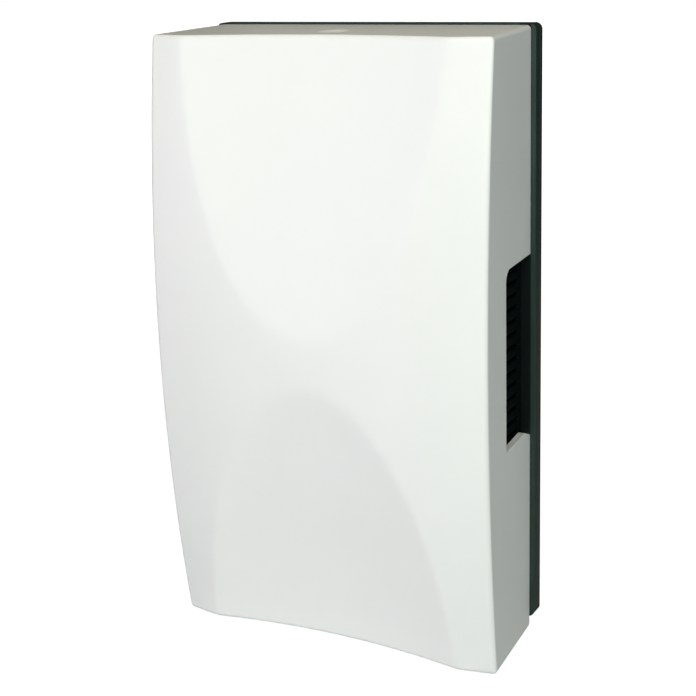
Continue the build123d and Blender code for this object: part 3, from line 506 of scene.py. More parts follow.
def buildCoverTree():
    tree, given, finish = newGeometryTree("coverRule", {**cover, **coverSkins["outer"]})
    height, width = given["Height"], given["Width"]
    inset, back = given["Inset"], given["Back Depth"]
    bowRadius = arcRadius(height, given["Bow Rise"])
    barrelRadius = arcRadius(width, given["Barrel Rise"])
    bowAxis = given["Corner Depth"] + given["Bow Rise"] - bowRadius
    crestRadius = bowRadius + given["Barrel Rise"]
    scoopHeight = given["Belt Height"] / 2
    scoopDepth = bowAxis + (crestRadius.square() - scoopHeight.square()).root()
    runUp = height / 2 - scoopHeight
    runOut = given["Scoop End Depth"] - scoopDepth
    run = (runUp.square() + runOut.square()).root()
    alongUp, alongOut = runUp / run, runOut / run
    axisHeight = (scoopHeight + height / 2) / 2 - alongOut * given["Scoop Radius"]
    axisDepth = (scoopDepth + given["Scoop End Depth"]) / 2 + alongUp * given["Scoop Radius"]

    def frontDepth(x, h):
        barrel = ((barrelRadius - inset).square() - x.square()).root()
        crest = bowAxis + ((crestRadius - barrelRadius + barrel).square() - h.square()).root()
        hollow = ((given["Scoop Radius"] + inset).square() - x.square()).root()
        scoop = axisDepth - (hollow - (h - axisHeight) * alongOut) / alongUp
        soft = given["Ridge Softness"]
        near = (soft - (crest - scoop).size()).most(0)
        return crest.least(scoop) - near.square() / (soft * 4)

    def lean(depth):
        return (given["Corner Depth"] - depth) / (given["Corner Depth"] - given["Rim Depth"])

    def spread(share, reach, edge, steps, count):
        # Lattice lines stand closer together in the rounded edge.
        inner = -(steps * 2 / count) + 1
        return share.ramp(0, inner, 0, reach - edge) + share.ramp(inner, 1, 0, edge)

    lattice = addNode(tree, "GeometryNodeMeshCube", Size=(2.0, 2.0, 2.0))
    for count, label in enumerate(("Across", "Deep", "Up")):
        tree.links.new((given[label] + 1).socket, lattice.inputs[count + 1])
    side, rear, up = pointParts(tree)
    halfWide = width / 2 - inset
    halfHigh = height / 2 - inset
    deep = given["Corner Depth"] + given["Bow Rise"] - back
    cornerRound, frontRound = given["Corner Round"], given["Front Round"]
    edge = cornerRound * given["Edge Spread"]
    steps = given["Edge Steps"]
    boxX = spread(side.size(), halfWide, edge, steps, given["Across"])
    boxZ = spread(up.size(), halfHigh, edge, steps, given["Up"])
    boxD = spread((-rear + 1) / 2, deep, frontRound * given["Edge Spread"], steps / 2, given["Deep"])
    overX = (boxX - halfWide + cornerRound).most(0) / cornerRound
    overZ = (boxZ - halfHigh + cornerRound).most(0) / cornerRound
    overD = (boxD - deep + frontRound).most(0) / frontRound
    longest = overX.most(overZ).most(overD)
    length = (overX.square() + overZ.square() + overD.square()).root()
    nearZero = 0.000001
    keep = longest / length.most(nearZero)
    roundX = (boxX.least(halfWide - cornerRound) + overX * keep * cornerRound) * side.sign()
    roundZ = (boxZ.least(halfHigh - cornerRound) + overZ * keep * cornerRound) * up.sign()
    depthShare = (boxD.least(deep - frontRound) + overD * keep * frontRound) / deep
    guess = back + (frontDepth(roundX, roundZ.size()) - back) * depthShare
    x = roundX * (halfWide - given["Side Flare"] * lean(guess)) / halfWide
    z = roundZ * (halfHigh + given["End Draft"] * lean(guess)) / halfHigh
    depth = back + (frontDepth(x, z.size()) - back) * depthShare
    shaped = bend(tree, lattice.outputs["Mesh"], x, -depth, z)
    closeTree(tree, shifted(tree, shaped, (0.0, 0.0, coverMiddle)), finish)
    return tree


def leanAt(depth):
    return (cover["Corner Depth"] - depth) / (cover["Corner Depth"] - cover["Rim Depth"])


def halfWidthAt(depth):
    return cover["Width"] / 2 - cover["Side Flare"] * leanAt(depth)


def halfHeightAt(depth):
    return cover["Height"] / 2 + cover["End Draft"] * leanAt(depth)


window = {
    "height": 55.4 * mm,
    "lift": 0.5 * mm,
    "reach": 23.8 * mm,
    "topRound": 3.5 * mm,
    "bottomRound": 1.2 * mm,
    "leadDrop": 2.0 * mm,
    "leadReach": 5.0 * mm,
    "edgeBreak": 0.25 * mm,
    "spare": 4.0 * mm,
}


def roundedOutline(corners, steps=6):
    # Corners are (across, up, radius), and each radius becomes an arc.
    outline = []
    for here, (across, up, radius) in enumerate(corners):
        corner = Vector((across, up))
        if radius <= 0:
            outline.append(corner)
            continue
        before = (Vector(corners[here - 1][:2]) - corner).normalized()
        after = (Vector(corners[(here + 1) % len(corners)][:2]) - corner).normalized()
        half = before.angle(after) / 2
        start = corner + before * (radius / tan(half))
        finish = corner + after * (radius / tan(half))
        centre = corner + (before + after).normalized() * (radius / sin(half))
        for step in range(steps + 1):
            toward = (start - centre).lerp(finish - centre, step / steps).normalized()
            outline.append(centre + toward * radius)
    return outline


def loftedSolid(name, rings, finish=None):
    # Rings of equally many points, closed by a face at each end
    count = len(rings[0])
    points = [point for ring in rings for point in ring]
    faces = [list(range(count)), list(range(len(points) - count, len(points)))]
    for low in range(0, len(points) - count, count):
        for here in range(count):
            after = (here + 1) % count
            faces.append([low + here, low + after, low + count + after, low + count + here])
    return meshObject(name, points, faces, finish)


def windowOutline(grow):
    rim = cover["Rim Depth"]
    top = coverMiddle + window["lift"] + window["height"] / 2 + grow
    bottom = coverMiddle + window["lift"] - window["height"] / 2 - grow
    front = rim + window["reach"] + grow
    return roundedOutline(
        [
            (rim - window["spare"], top, 0),
            (front, top, window["topRound"] + grow),
            (front, bottom, window["bottomRound"] + grow),
            (rim + window["leadReach"], bottom, 0),
            (rim, bottom - window["leadDrop"], 0),
            (rim - window["spare"], bottom - window["leadDrop"], 0),
        ]
    )


def makeWindowCutter(side, finish):
    # The opening has a narrow chamfer where it meets the leaning side wall.
    spare, chamfer = window["spare"], window["edgeBreak"]
    rings = []
    for grow, out in ((0, -2 * spare), (0, -chamfer), (spare + chamfer, spare)):
        ring = []
        for point in windowOutline(grow):
            ring.append((side * (halfWidthAt(point.x) + out), -point.x, point.y))
        rings.append(ring)
    return loftedSolid("windowCutter", rings, finish)


dish = {
    "across": 9.7 * mm,
    "sink": 0.9 * mm,
    "depthPlace": 27.0 * mm,
    "steps": 72,
    "rings": 12,
    "toolShare": 1.3,
    "toolHeight": 3.0 * mm,
    "rimHeight": 0.6 * mm,
    "rimWidth": 0.12 * mm,
    "rimAngle": 0.12,
}


def makeDishCutter(finish):
    # Cap of a ball that reaches down into the sloping top wall
    radius = arcRadius(dish["across"], dish["sink"])
    top = coverMiddle + halfHeightAt(dish["depthPlace"])
    middle = Vector((0, -dish["depthPlace"], top - dish["sink"] + radius))
    widest = dish["across"] / 2 * dish["toolShare"]
    angles = [2 * pi * step / dish["steps"] for step in range(dish["steps"])]
    rings = []
    for layer in range(1, dish["rings"] + 1):
        away = widest * layer / dish["rings"]
        drop = sqrt(radius * radius - away * away)
        rings.append([middle + Vector((away * cos(angle), away * sin(angle), -drop)) for angle in angles])
    lid = [Vector((point.x, point.y, middle.z - radius + dish["toolHeight"])) for point in rings[-1]]
    return loftedSolid("dishCutter", rings + [lid], finish)


restRibs = {
    "count": 4,
    "width": 1.6 * mm,
    "reach": 11.0 * mm,
    "setback": 1.0 * mm,
    "overBaseEdge": 0.7 * mm,
    "intoWall": 1.1 * mm,
    "endShare": 0.5,
}


def makeRestRibs(finish):
    # Ribs inside the lower wall that carry the cover on the base
    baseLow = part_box("base")[0].z
    top = baseLow + restRibs["overBaseEdge"]
    bottom = coverMiddle - halfHeightAt(cover["Rim Depth"]) + restRibs["intoWall"]
    pitch = 2 * halfWidthAt(cover["Rim Depth"]) / (restRibs["count"] + restRibs["endShare"])
    ribs = []
    for place in range(restRibs["count"]):
        middle = (place - (restRibs["count"] - 1) / 2) * pitch
        left, right = middle - restRibs["width"] / 2, middle + restRibs["width"] / 2
        near = cover["Rim Depth"] + restRibs["setback"]
        rings = [
            [(left, -depth, bottom), (right, -depth, bottom), (right, -depth, top), (left, -depth, top)]
            for depth in (near, near + restRibs["reach"])
        ]
        ribs.append(loftedSolid("restRib", rings, finish))
    return ribs


def cutWith(piece, tool, operation="DIFFERENCE"):
    modifier = piece.modifiers.new("Cut", "BOOLEAN")
    modifier.operation = operation
    modifier.solver = "EXACT"
    modifier.object = tool


def makeCover():
    finish = finishes["cover_white"]
    tree = buildCoverTree()
    shell, hollow = (
        meshFromTree(name + "Skin", tree, {**cover, **sizes}, finish) for name, sizes in coverSkins.items()
    )
    for skin in (shell, hollow):
        turnFacesOut(skin)
    tools = [hollow, makeWindowCutter(-1, finish), makeWindowCutter(1, finish), makeDishCutter(finish)]
    for tool in tools:
        cutWith(shell, tool)
    ribs = makeRestRibs(finish)
    for rib in ribs:
        cutWith(shell, rib, "UNION")
    shell = plainObject("cover_shell", shell)
    for tool in tools + ribs:
        bpy.data.objects.remove(tool)
    dishMiddle = Vector((0, -dish["depthPlace"], coverMiddle + halfHeightAt(dish["depthPlace"])))

    def onDishRim(edge):
        middle = (edge.verts[0].co + edge.verts[1].co) / 2 - dishMiddle
        offRim = abs(middle.xy.length - dish["across"] / 2)
        near = abs(middle.z) < dish["rimHeight"] and offRim < dish["rimWidth"]
        return near and edge.calc_face_angle(0) > dish["rimAngle"]

    smoothWithEdges(shell, sharpAngles["cover"], onDishRim)
    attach(shell, "cover")
    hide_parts("cover")
    print("cover:", len(shell.data.polygons), "faces")


makeCover()


# Small helpers for pieces that stand in for a node of the frame


def rideAs(piece, body, node, sharpAngle=sharpAngles["usual"]):
    smoothWithEdges(piece, sharpAngle)
    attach(piece, body)
    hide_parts(node)


def turnedPiece(name, outline, middle, along, finish, steps=64):
    # Closed outline of (along, radius) points, turned about an axis through the middle
    axis = Vector(along)
    aside = axis.orthogonal().normalized()
    across = axis.cross(aside)
    points, faces = [], []
    count = len(outline)
    for step in range(steps):
        angle = 2 * pi * step / steps
        out = aside * cos(angle) + across * sin(angle)
        points += [Vector(middle) + axis * point[0] + out * point[1] for point in outline]
        here, there = step * count, (step + 1) % steps * count
        for first in range(count):
            second = (first + 1) % count
            if max(outline[first][1], outline[second][1]) > weldDistance:
                faces.append([here + first, here + second, there + second, there + first])
    return meshObject(name, points, faces, finish)


def joinPieces(name, pieces):
    work = bmesh.new()
    for piece in pieces:
        work.from_mesh(piece.data)
    mesh = bpy.data.meshes.new(name)
    work.to_mesh(mesh)
    work.free()
    mesh.materials.append(pieces[0].data.materials[0])
    for piece in pieces:
        bpy.data.objects.remove(piece)
    return newObject(name, mesh)


# Screws: a lathe grid with a rounded head, a helical thread and a slot

screw = {
    "Head Radius": 3.0 * mm,
    "Head Height": 2.0 * mm,
    "Head Squareness": 0.3,
    "Shank Radius": 1.5 * mm,
    "Shank Length": 11.5 * mm,
    "Plain Length": 5.5 * mm,
    "Thread Pitch": 0.7 * mm,
    "Thread Depth": 0.18 * mm,
    "Tip Share": 0.8,
    "Slot Width": 0.8 * mm,
    "Slot Depth": 0.9 * mm,
    "Slot Reach": 2.4,
    "First Place": (0.0, 0.0, 0.0),
    "Step": (0.0, 0.0, 0.0),
    "Turn": (0.0, 0.0, 0.0),
    "Count": 2,
    "Around": 40,
    "Along": 150,
    "Seed": 3,
}
# Places that several pieces share
strikeDepth = 22.0 * mm
screwSeat = 44.0 * mm
barHoles = {"left": 36.43 * mm, "right": 32.57 * mm}
earSpacing = 34.0 * mm
clampSpacing = 12.0 * mm
terminalMiddle = -48.0 * mm
intoRoom = (radians(90), 0.0, 0.0)
screwSets = {
    "tone_bar_screws_" + name: {
        "First Place": (side * screwSeat, -strikeDepth, -barHoles[name]),
        "Step": (0.0, 0.0, 2 * barHoles[name]),
        "Turn": (0.0, side * radians(90), 0.0),
        "Seed": seed,
    }
    for side, name, seed in ((-1, "left", 3), (1, "right", 8))
}
screwSets |= {
    "coil_screws": {
        "Head Radius": 2.9 * mm,
        "Head Height": 1.9 * mm,
        "Shank Length": 6.0 * mm,
        "Plain Length": 1.5 * mm,
        "First Place": (4.0 * mm, -8.5 * mm, -earSpacing / 2),
        "Step": (0.0, 0.0, earSpacing),
        "Turn": intoRoom,
        "Seed": 5,
    },
    "terminal_screws": {
        "Head Radius": 1.9 * mm,
        "Head Height": 1.8 * mm,
        "Head Squareness": 0.2,
        "Shank Radius": 1.2 * mm,
        "Shank Length": 4.0 * mm,
        "Plain Length": 0.3 * mm,
        "Thread Pitch": 0.5 * mm,
        "Thread Depth": 0.12 * mm,
        "Along": 100,
        "First Place": (-clampSpacing / 2, -13.6 * mm, terminalMiddle),
        "Step": (clampSpacing, 0.0, 0.0),
        "Turn": intoRoom,
        "Seed": 2,
    },
    "terminal_block_screw": {
        "Head Radius": 2.6 * mm,
        "Head Height": 1.8 * mm,
        "Shank Radius": 1.4 * mm,
        "Shank Length": 9.5 * mm,
        "First Place": (0.0, -10.9 * mm, terminalMiddle),
        "Turn": intoRoom,
        "Count": 1,
        "Seed": 6,
    },
}


def buildScrewTree():
    tree, given, finish = newGeometryTree("screwRule", screw)
    mesh, around, along = unitGrid(tree, given["Around"], given["Along"])
    domeEnd, underEnd, shankEnd, chamferStart = 0.16, 0.18, 0.96, 0.93
    dome = along.ramp(0, domeEnd, 0, pi / 2)
    under = along.ramp(domeEnd, underEnd, 0, 1)
    down = along.ramp(underEnd, shankEnd, 0, 1)
    drop = down * given["Shank Length"]
    wave = ((drop / given["Thread Pitch"] + around + 1).fraction() * 2 - 1).size()
    threaded = (drop - given["Plain Length"]).sign().most(0)
    tip = down.ramp(chamferStart, 1, 1, given["Tip Share"])
    shank = (given["Shank Radius"] - wave * given["Thread Depth"] * threaded) * tip
    head = dome.sine().power(given["Head Squareness"]) * given["Head Radius"]
    radius = (head * (-under + 1) + shank * under) * along.ramp(shankEnd, 1, 1, 0)
    height = dome.cosine().most(0).power(given["Head Squareness"]) * given["Head Height"] - drop
    angle = around * (-2 * pi)
    bentGrid = bend(tree, mesh, angle.cosine() * radius, angle.sine() * radius, height)
    turned = welded(tree, bentGrid, weldDistance / 2)
    slotLength, slotDepth = given["Head Radius"] * given["Slot Reach"], given["Slot Depth"] * 2
    slotSize = vectorOf(tree, slotLength, given["Slot Width"], slotDepth)
    slotBox = addNode(tree, "GeometryNodeMeshCube", Size=slotSize)
    slot = shifted(tree, slotBox.outputs["Mesh"], vectorOf(tree, 0.0, 0.0, given["Head Height"]))
    exactCut = {"operation": "DIFFERENCE", "solver": "EXACT"}
    cut = addNode(tree, "GeometryNodeMeshBoolean", exactCut, i0=turned, i1=slot)
    copies = copiesInLine(tree, cut, given["Count"], given["First Place"], given["Step"], given["Turn"])
    spin = addNode(tree, "FunctionNodeRandomValue", {"data_type": "FLOAT"}, i2=0.0, i3=pi, i8=given["Seed"])
    about = vectorOf(tree, 0.0, 0.0, Field(tree, spin.outputs[1]))
    spun = addNode(tree, "GeometryNodeRotateInstances", Instances=copies, Rotation=about)
    closeTree(tree, spun.outputs[0], finish)
    return tree


def makeScrews():
    tree = buildScrewTree()
    for name, sizes in screwSets.items():
        piece = meshFromTree(name + "_made", tree, {**screw, **sizes}, finishes[slotOf[name]])
        turnFacesOut(piece)
        rideAs(piece, "base", name)
    print("screws:", len(screwSets), "sets")


makeScrews()


# Wound pieces: a wire that follows a helix about the plunger's axis

helix = {
    "Start": 0.0,
    "Length": 16.9 * mm,
    "Turns": 8.5,
    "Coil Radius": 5.2 * mm,
    "Wire Radius": 0.3 * mm,
    "Axis Depth": strikeDepth,
    "End Closing": 0.65,
    "Steps": 340,
    "Sides": 12,
}
spring = {"Start": -31.2 * mm, "shoulder": -31.5 * mm, "yoke": -14.0 * mm}
winding = {
    "Start": -11.09 * mm,
    "Length": 30.18 * mm,
    "Turns": 72.0,
    "Coil Radius": 10.09 * mm,
    "Wire Radius": 0.21 * mm,
    "End Closing": 0.0,
    "Steps": 1800,
    "Sides": 6,
}


def buildHelixTree():
    tree, given, finish = newGeometryTree("helixRule", helix)
    mesh, around, along = unitGrid(tree, given["Sides"], given["Steps"])
    # The first and last rows close the wire's ends.
    oneStep = given["Steps"].power(-1)
    share = along.ramp(oneStep, -oneStep + 1, 0, 1)
    wire = given["Wire Radius"] * (along / oneStep).least(1) * ((-along + 1) / oneStep).least(1)
    angle = share * given["Turns"] * (2 * pi)
    ring = around * (2 * pi)
    closing = (share * (2 * pi)).sine() * given["End Closing"] / (2 * pi)
    out = given["Coil Radius"] + wire * ring.cosine()
    x = given["Start"] + given["Length"] * (share - closing) + wire * ring.sine()
    wound = bend(tree, mesh, x, out * angle.cosine() - given["Axis Depth"], out * angle.sine())
    closeTree(tree, welded(tree, wound, weldDistance / 2), finish)
    return tree


def makeWoundPieces():
    tree = buildHelixTree()
    sizes = {**helix, "Start": spring["Start"]}
    coil = meshFromTree("return_spring", tree, sizes, finishes["spring_steel"])
    turnFacesOut(coil)
    smoothWithEdges(coil, sharpAngles["spring"])
    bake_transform(coil)
    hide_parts("plunger_spring")
    copper = meshFromTree("copper_winding", tree, {**helix, **winding}, finishes["winding_copper"])
    turnFacesOut(copper)
    rideAs(copper, "base", "coil_winding", sharpAngles["winding"])
    print("wound pieces:", len(coil.data.polygons), "and", len(copper.data.polygons), "faces")


makeWoundPieces()

tape = {
    "left": -10.7 * mm,
    "right": 18.7 * mm,
    "innerRadius": 10.32 * mm,
    "thickness": 0.14 * mm,
    "turns": 1.6,
    "startAngle": radians(40),
    "climb": 0.14 * mm,
    "waver": 0.12 * mm,
    "waverRate": 3.7,
    "steps": 200,
}


def makeTape():
    # Sticky tape, wound more than once round, so that its end shows
    rings = []
    for step in range(tape["steps"] + 1):
        turn = tape["turns"] * step / tape["steps"]
        angle = 2 * pi * turn + tape["startAngle"]
        low = tape["innerRadius"] + tape["climb"] * turn
        high = low + tape["thickness"]
        drift = tape["waver"] * sin(tape["waverRate"] * turn + 1)
        left, right = tape["left"] + tape["waver"] + drift, tape["right"] - tape["waver"] + drift
        section = ((left, low), (right, low), (right, high), (left, high))
        rings.append([(x, r * cos(angle) - strikeDepth, r * sin(angle)) for x, r in section])
    piece = loftedSolid("winding_tape", rings, finishes["tape_yellow"])
    rideAs(piece, "base", "coil_tape")


makeTape()
print("tape made")


# Plunger: iron core with two nylon strikers

plunger = {
    "leftTip": -37.3 * mm,
    "rightTip": 31.8 * mm,
    "leftRoot": -25.75 * mm,
    "rightRoot": 20.25 * mm,
    "noseRadius": 3.0 * mm,
    "noseRound": 2.6 * mm,
    "noseLength": 4.5 * mm,
    "bodyRadius": 4.0 * mm,
    "spigotRadius": 2.5 * mm,
    "spigotLength": 5.0 * mm,
    "shoulderBack": -33.0 * mm,
    "shoulderFace": -31.5 * mm,
    "shoulderRadius": 6.6 * mm,
    "coreRadius": 4.2 * mm,
    "coreEdge": 0.4 * mm,
    "mouthEdge": 0.1 * mm,
    "spigotRoom": 0.05 * mm,
    "neckLength": 1.0 * mm,
    "neckRound": 0.8 * mm,
    "bodyRound": 0.4 * mm,
    "rootRound": 0.12 * mm,
    "softEdge": 0.25 * mm,
}


def strikerOutline(side):
    name = "right" if side > 0 else "left"
    tip, root = plunger[name + "Tip"], plunger[name + "Root"]
    spigotEnd = root - side * plunger["spigotLength"]
    nose, body, soft = plunger["noseRadius"], plunger["bodyRadius"], plunger["softEdge"]
    corners = [(tip, 0, 0), (tip, nose, plunger["noseRound"])]
    if side > 0:
        neck = tip - plunger["noseLength"]
        corners.append((neck, nose, plunger["neckRound"]))
        corners.append((neck - plunger["neckLength"], body, plunger["bodyRound"]))
    else:
        shoulder = plunger["shoulderRadius"]
        corners += [(plunger["shoulderBack"], radius, soft) for radius in (nose, shoulder)]
        corners += [(plunger["shoulderFace"], radius, soft) for radius in (shoulder, body)]
    corners += [(root, body, plunger["rootRound"]), (root, plunger["spigotRadius"], 0)]
    corners += [(spigotEnd, plunger["spigotRadius"], soft), (spigotEnd, 0, 0)]
    return roundedOutline(corners, 5)


def coreOutline():
    left, right = plunger["leftRoot"], plunger["rightRoot"]
    reach = plunger["spigotLength"] + plunger["spigotRoom"]
    bore = plunger["spigotRadius"] + plunger["spigotRoom"]
    corners = [
        (left + reach, 0, 0),
        (left + reach, bore, 0),
        (left, bore, plunger["mouthEdge"]),
        (left, plunger["coreRadius"], plunger["coreEdge"]),
        (right, plunger["coreRadius"], plunger["coreEdge"]),
        (right, bore, plunger["mouthEdge"]),
        (right - reach, bore, 0),
        (right - reach, 0, 0),
    ]
    return roundedOutline(corners, 4)


def makePlunger():
    axisPlace = (0, -strikeDepth, 0)
    core = turnedPiece("iron_core", coreOutline(), axisPlace, (1, 0, 0), finishes["core_iron"])
    rideAs(core, "plunger", "plunger_core")
    for side, name in ((-1, "left"), (1, "right")):
        outline = strikerOutline(side)
        tip = turnedPiece("nylon_striker_" + name, outline, axisPlace, (1, 0, 0), finishes["striker_nylon"])
        rideAs(tip, "plunger", "striker_tip_" + name)


makePlunger()
print("plunger made")


# Grommets: soft rubber rings with a waist that the bar's hole holds

grommet = {
    "halfLength": 2.75 * mm,
    "halfWaist": 1.25 * mm,
    "waistRadius": 3.15 * mm,
    "boreRadius": 1.6 * mm,
    "flangeRadius": 5.0 * mm,
    "flangeRound": 0.7 * mm,
    "innerRound": 0.35 * mm,
    "waistRound": 0.1 * mm,
}


def makeGrommets():
    half, waist, narrow = grommet["halfLength"], grommet["halfWaist"], grommet["waistRadius"]
    lip, inner = grommet["flangeRadius"], grommet["innerRound"]
    upper = [
        (waist, narrow, grommet["waistRound"]),
        (waist, lip, inner),
        (half, lip, grommet["flangeRound"]),
        (half, grommet["boreRadius"], inner),
    ]
    lower = [(-along, radius, rounding) for along, radius, rounding in reversed(upper)]
    outline = roundedOutline(lower + upper, 4)
    for side, name in ((-1, "left"), (1, "right")):
        across = side * (screwSeat - half)
        pair = []
        for end in (-1, 1):
            place = (across, -strikeDepth, end * barHoles[name])
            pair.append(turnedPiece("rubberRing", outline, place, (1, 0, 0), finishes["grommet_rubber"]))
        rideAs(joinPieces("rubber_grommets_" + name, pair), "base", "grommets_" + name)


makeGrommets()
print("grommets made")


# Sound grilles: slotted panel on a foot

grille = {
    "Depth From": 2.4 * mm,
    "Depth To": 33.0 * mm,
    "Height": 68.0 * mm,
    "Middle": -1.75 * mm,
    "Corner Round": 3.0 * mm,
    "Thickness": 1.3 * mm,
    "Face Place": 50.1 * mm,
    "Slot Count": 15,
    "Slot Pitch": 4.0 * mm,
    "Slot Width": 1.6 * mm,
    "Slot Length": 19.8 * mm,
    "Slot Middle": 17.1 * mm,
    "Foot Width": 5.0 * mm,
    "Foot Thickness": 1.4 * mm,
    "End Round Share": 0.49,
}
grilleEdgeBreak = 0.18 * mm


def buildGrilleTree():
    # Drawn flat with depth along X and height along Y, then stood up
    tree, given, finish = newGeometryTree("grilleRule", grille)
    near, far = given["Depth From"], given["Depth To"]
    panel = addNode(tree, "GeometryNodeCurvePrimitiveQuadrilateral", Width=far - near, Height=given["Height"])
    placed = shifted(tree, panel.outputs[0], vectorOf(tree, (far + near) / 2, 0.0, 0.0))
    isFront = (pointParts(tree)[0] - given["Slot Middle"]).sign().most(0)
    rounded = roundCorners(tree, placed, isFront * given["Corner Round"], 8)
    length, width = given["Slot Length"], given["Slot Width"]
    slot = addNode(tree, "GeometryNodeCurvePrimitiveQuadrilateral", Width=length, Height=width)
    slotEnds = roundCorners(tree, slot.outputs[0], width * given["End Round Share"], 5)
    lowest = -(given["Slot Count"] - 1) * given["Slot Pitch"] / 2
    first = vectorOf(tree, given["Slot Middle"], lowest, 0.0)
    step = vectorOf(tree, 0.0, given["Slot Pitch"], 0.0)
    slots = copiesInLine(tree, slotEnds, given["Slot Count"], first, step)
    realSlots = addNode(tree, "GeometryNodeRealizeInstances", Geometry=slots)
    outlines = joined(tree, rounded, realSlots)
    filled = addNode(tree, "GeometryNodeFillCurve", Curve=outlines)
    thick = addNode(
        tree,
        "GeometryNodeExtrudeMesh",
        Mesh=filled.outputs[0],
        Offset=(0.0, 0.0, 1.0),
        Individual=False,
        **{"Offset Scale": given["Thickness"]},
    )
    closing = addNode(tree, "GeometryNodeFlipFaces", Mesh=filled.outputs[0])
    plate = welded(tree, joined(tree, thick, closing))
    foot = addNode(
        tree,
        "GeometryNodeMeshCube",
        Size=vectorOf(tree, given["Foot Thickness"], given["Height"], given["Foot Width"]),
    )
    footDepth = near + given["Foot Thickness"] / 2
    footPlace = vectorOf(tree, footDepth, 0.0, given["Thickness"] + given["Foot Width"] / 2)
    both = addNode(tree, "GeometryNodeMeshBoolean", {"operation": "UNION", "solver": "EXACT"}, i1=plate)
    tree.links.new(shifted(tree, foot.outputs["Mesh"], footPlace), both.inputs[1])
    depth, height, inward = pointParts(tree)
    stood = bend(tree, both.outputs[0], given["Face Place"] - inward, -depth, height + given["Middle"])
    closeTree(tree, stood, finish)
    return tree


def joined(tree, *parts):
    join = tree.nodes.new("GeometryNodeJoinGeometry")
    for part in parts:
        tree.links.new(part.outputs[0], join.inputs[0])
    return join.outputs[0]


def roundCorners(tree, curve, radius, count):
    # The fillet's mode is a menu socket in some versions, and a property in others.
    fillet = addNode(tree, "GeometryNodeFilletCurve", Curve=curve, Radius=radius)
    if "Mode" in fillet.inputs:
        fillet.inputs["Mode"].default_value = "Poly"
    else:
        fillet.mode = "POLY"
    fillet.inputs["Count"].default_value = count
    return fillet


def makeGrilles():
    tree = buildGrilleTree()
    for side, name in ((-1, "left"), (1, "right")):
        panel = meshFromTree("grillePanel", tree, grille, finishes["grille_black"])
        if side < 0:
            panel.data.transform(Matrix.Scale(-1, 4, (1, 0, 0)))
        turnFacesOut(panel)
        addBevel(panel, grilleEdgeBreak, sharpAngles["grilleBevel"])
        panel = plainObject("slotted_grille_" + name, panel)
        rideAs(panel, "base", "sound_grille_" + name, sharpAngles["grille"])
    print("grilles made:", len(panel.data.polygons), "faces each")


makeGrilles()


# Coil tags with solder, and the leads that run down to the terminals

tags = {
    "places": (-9.8 * mm, 17.8 * mm),
    "top": -11.2 * mm,
    "tip": -17.5 * mm,
    "radius": 0.5 * mm,
    "solderRadius": 1.0 * mm,
    "solderTop": -15.2 * mm,
    "solderHang": 0.3 * mm,
    "solderEndRadius": 0.72 * mm,
    "solderRounds": (0.6 * mm, 0.5 * mm, 0.2 * mm),
}


def makeTags():
    middle = (tags["solderTop"] + tags["tip"]) / 2
    low = tags["tip"] - tags["solderHang"]
    flare, bulge, lowEdge = tags["solderRounds"]
    corners = [
        (tags["top"], 0, 0),
        (tags["top"], tags["radius"], 0),
        (tags["solderTop"], tags["radius"], flare),
        (middle, tags["solderRadius"], bulge),
        (low, tags["solderEndRadius"], lowEdge),
        (low, 0, 0),
    ]
    outline = roundedOutline(corners, 5)
    places = [(across, -strikeDepth, 0) for across in tags["places"]]
    pins = [turnedPiece("tag", outline, place, (0, 0, 1), finishes["tag_brass"], 32) for place in places]
    rideAs(joinPieces("soldered_tags", pins), "base", "coil_tags")


makeTags()

leads = {
    "radius": 0.7 * mm,
    "left": ((-9.8, -22.0, -17.5), (-9.8, -22.0, -26.85), (-6.0, -9.6, -32.26), (-6.0, -9.6, -42.1)),
    "right": ((17.8, -22.0, -17.5), (17.8, -22.0, -26.85), (6.0, -9.6, -32.26), (6.0, -9.6, -42.1)),
}


def makeLead(name):
    curve = bpy.data.curves.new("leadLine", "CURVE")
    curve.dimensions = "3D"
    line = curve.splines.new("NURBS")
    line.points.add(len(leads[name]) - 1)
    for point, place in zip(line.points, leads[name]):
        point.co = (*(axis * mm for axis in place), 1)
    line.order_u = 3
    line.use_endpoint_u = True
    line.resolution_u = 16
    curve.bevel_depth = leads["radius"]
    curve.bevel_resolution = 5
    curve.use_fill_caps = True
    curve.materials.append(finishes["lead_insulation"])
    piece = plainObject("insulated_lead_" + name, newObject("leadHolder", curve))
    turnFacesOut(piece)
    rideAs(piece, "base", "coil_lead_" + name)


makeLead("left")
makeLead("right")
print("tags and leads made")


# Pieces whose shape the frame already has: merged, with a broken edge and a finish

edgeBreaks = {
    "base": 0.35 * mm,
    "tone_bar_left": 0.25 * mm,
    "tone_bar_right": 0.25 * mm,
    "coil_yoke": 0.15 * mm,
    "coil_bobbin": 0.15 * mm,
    "terminal_block": 0.15 * mm,
    "terminal_clamps": 0.1 * mm,
}


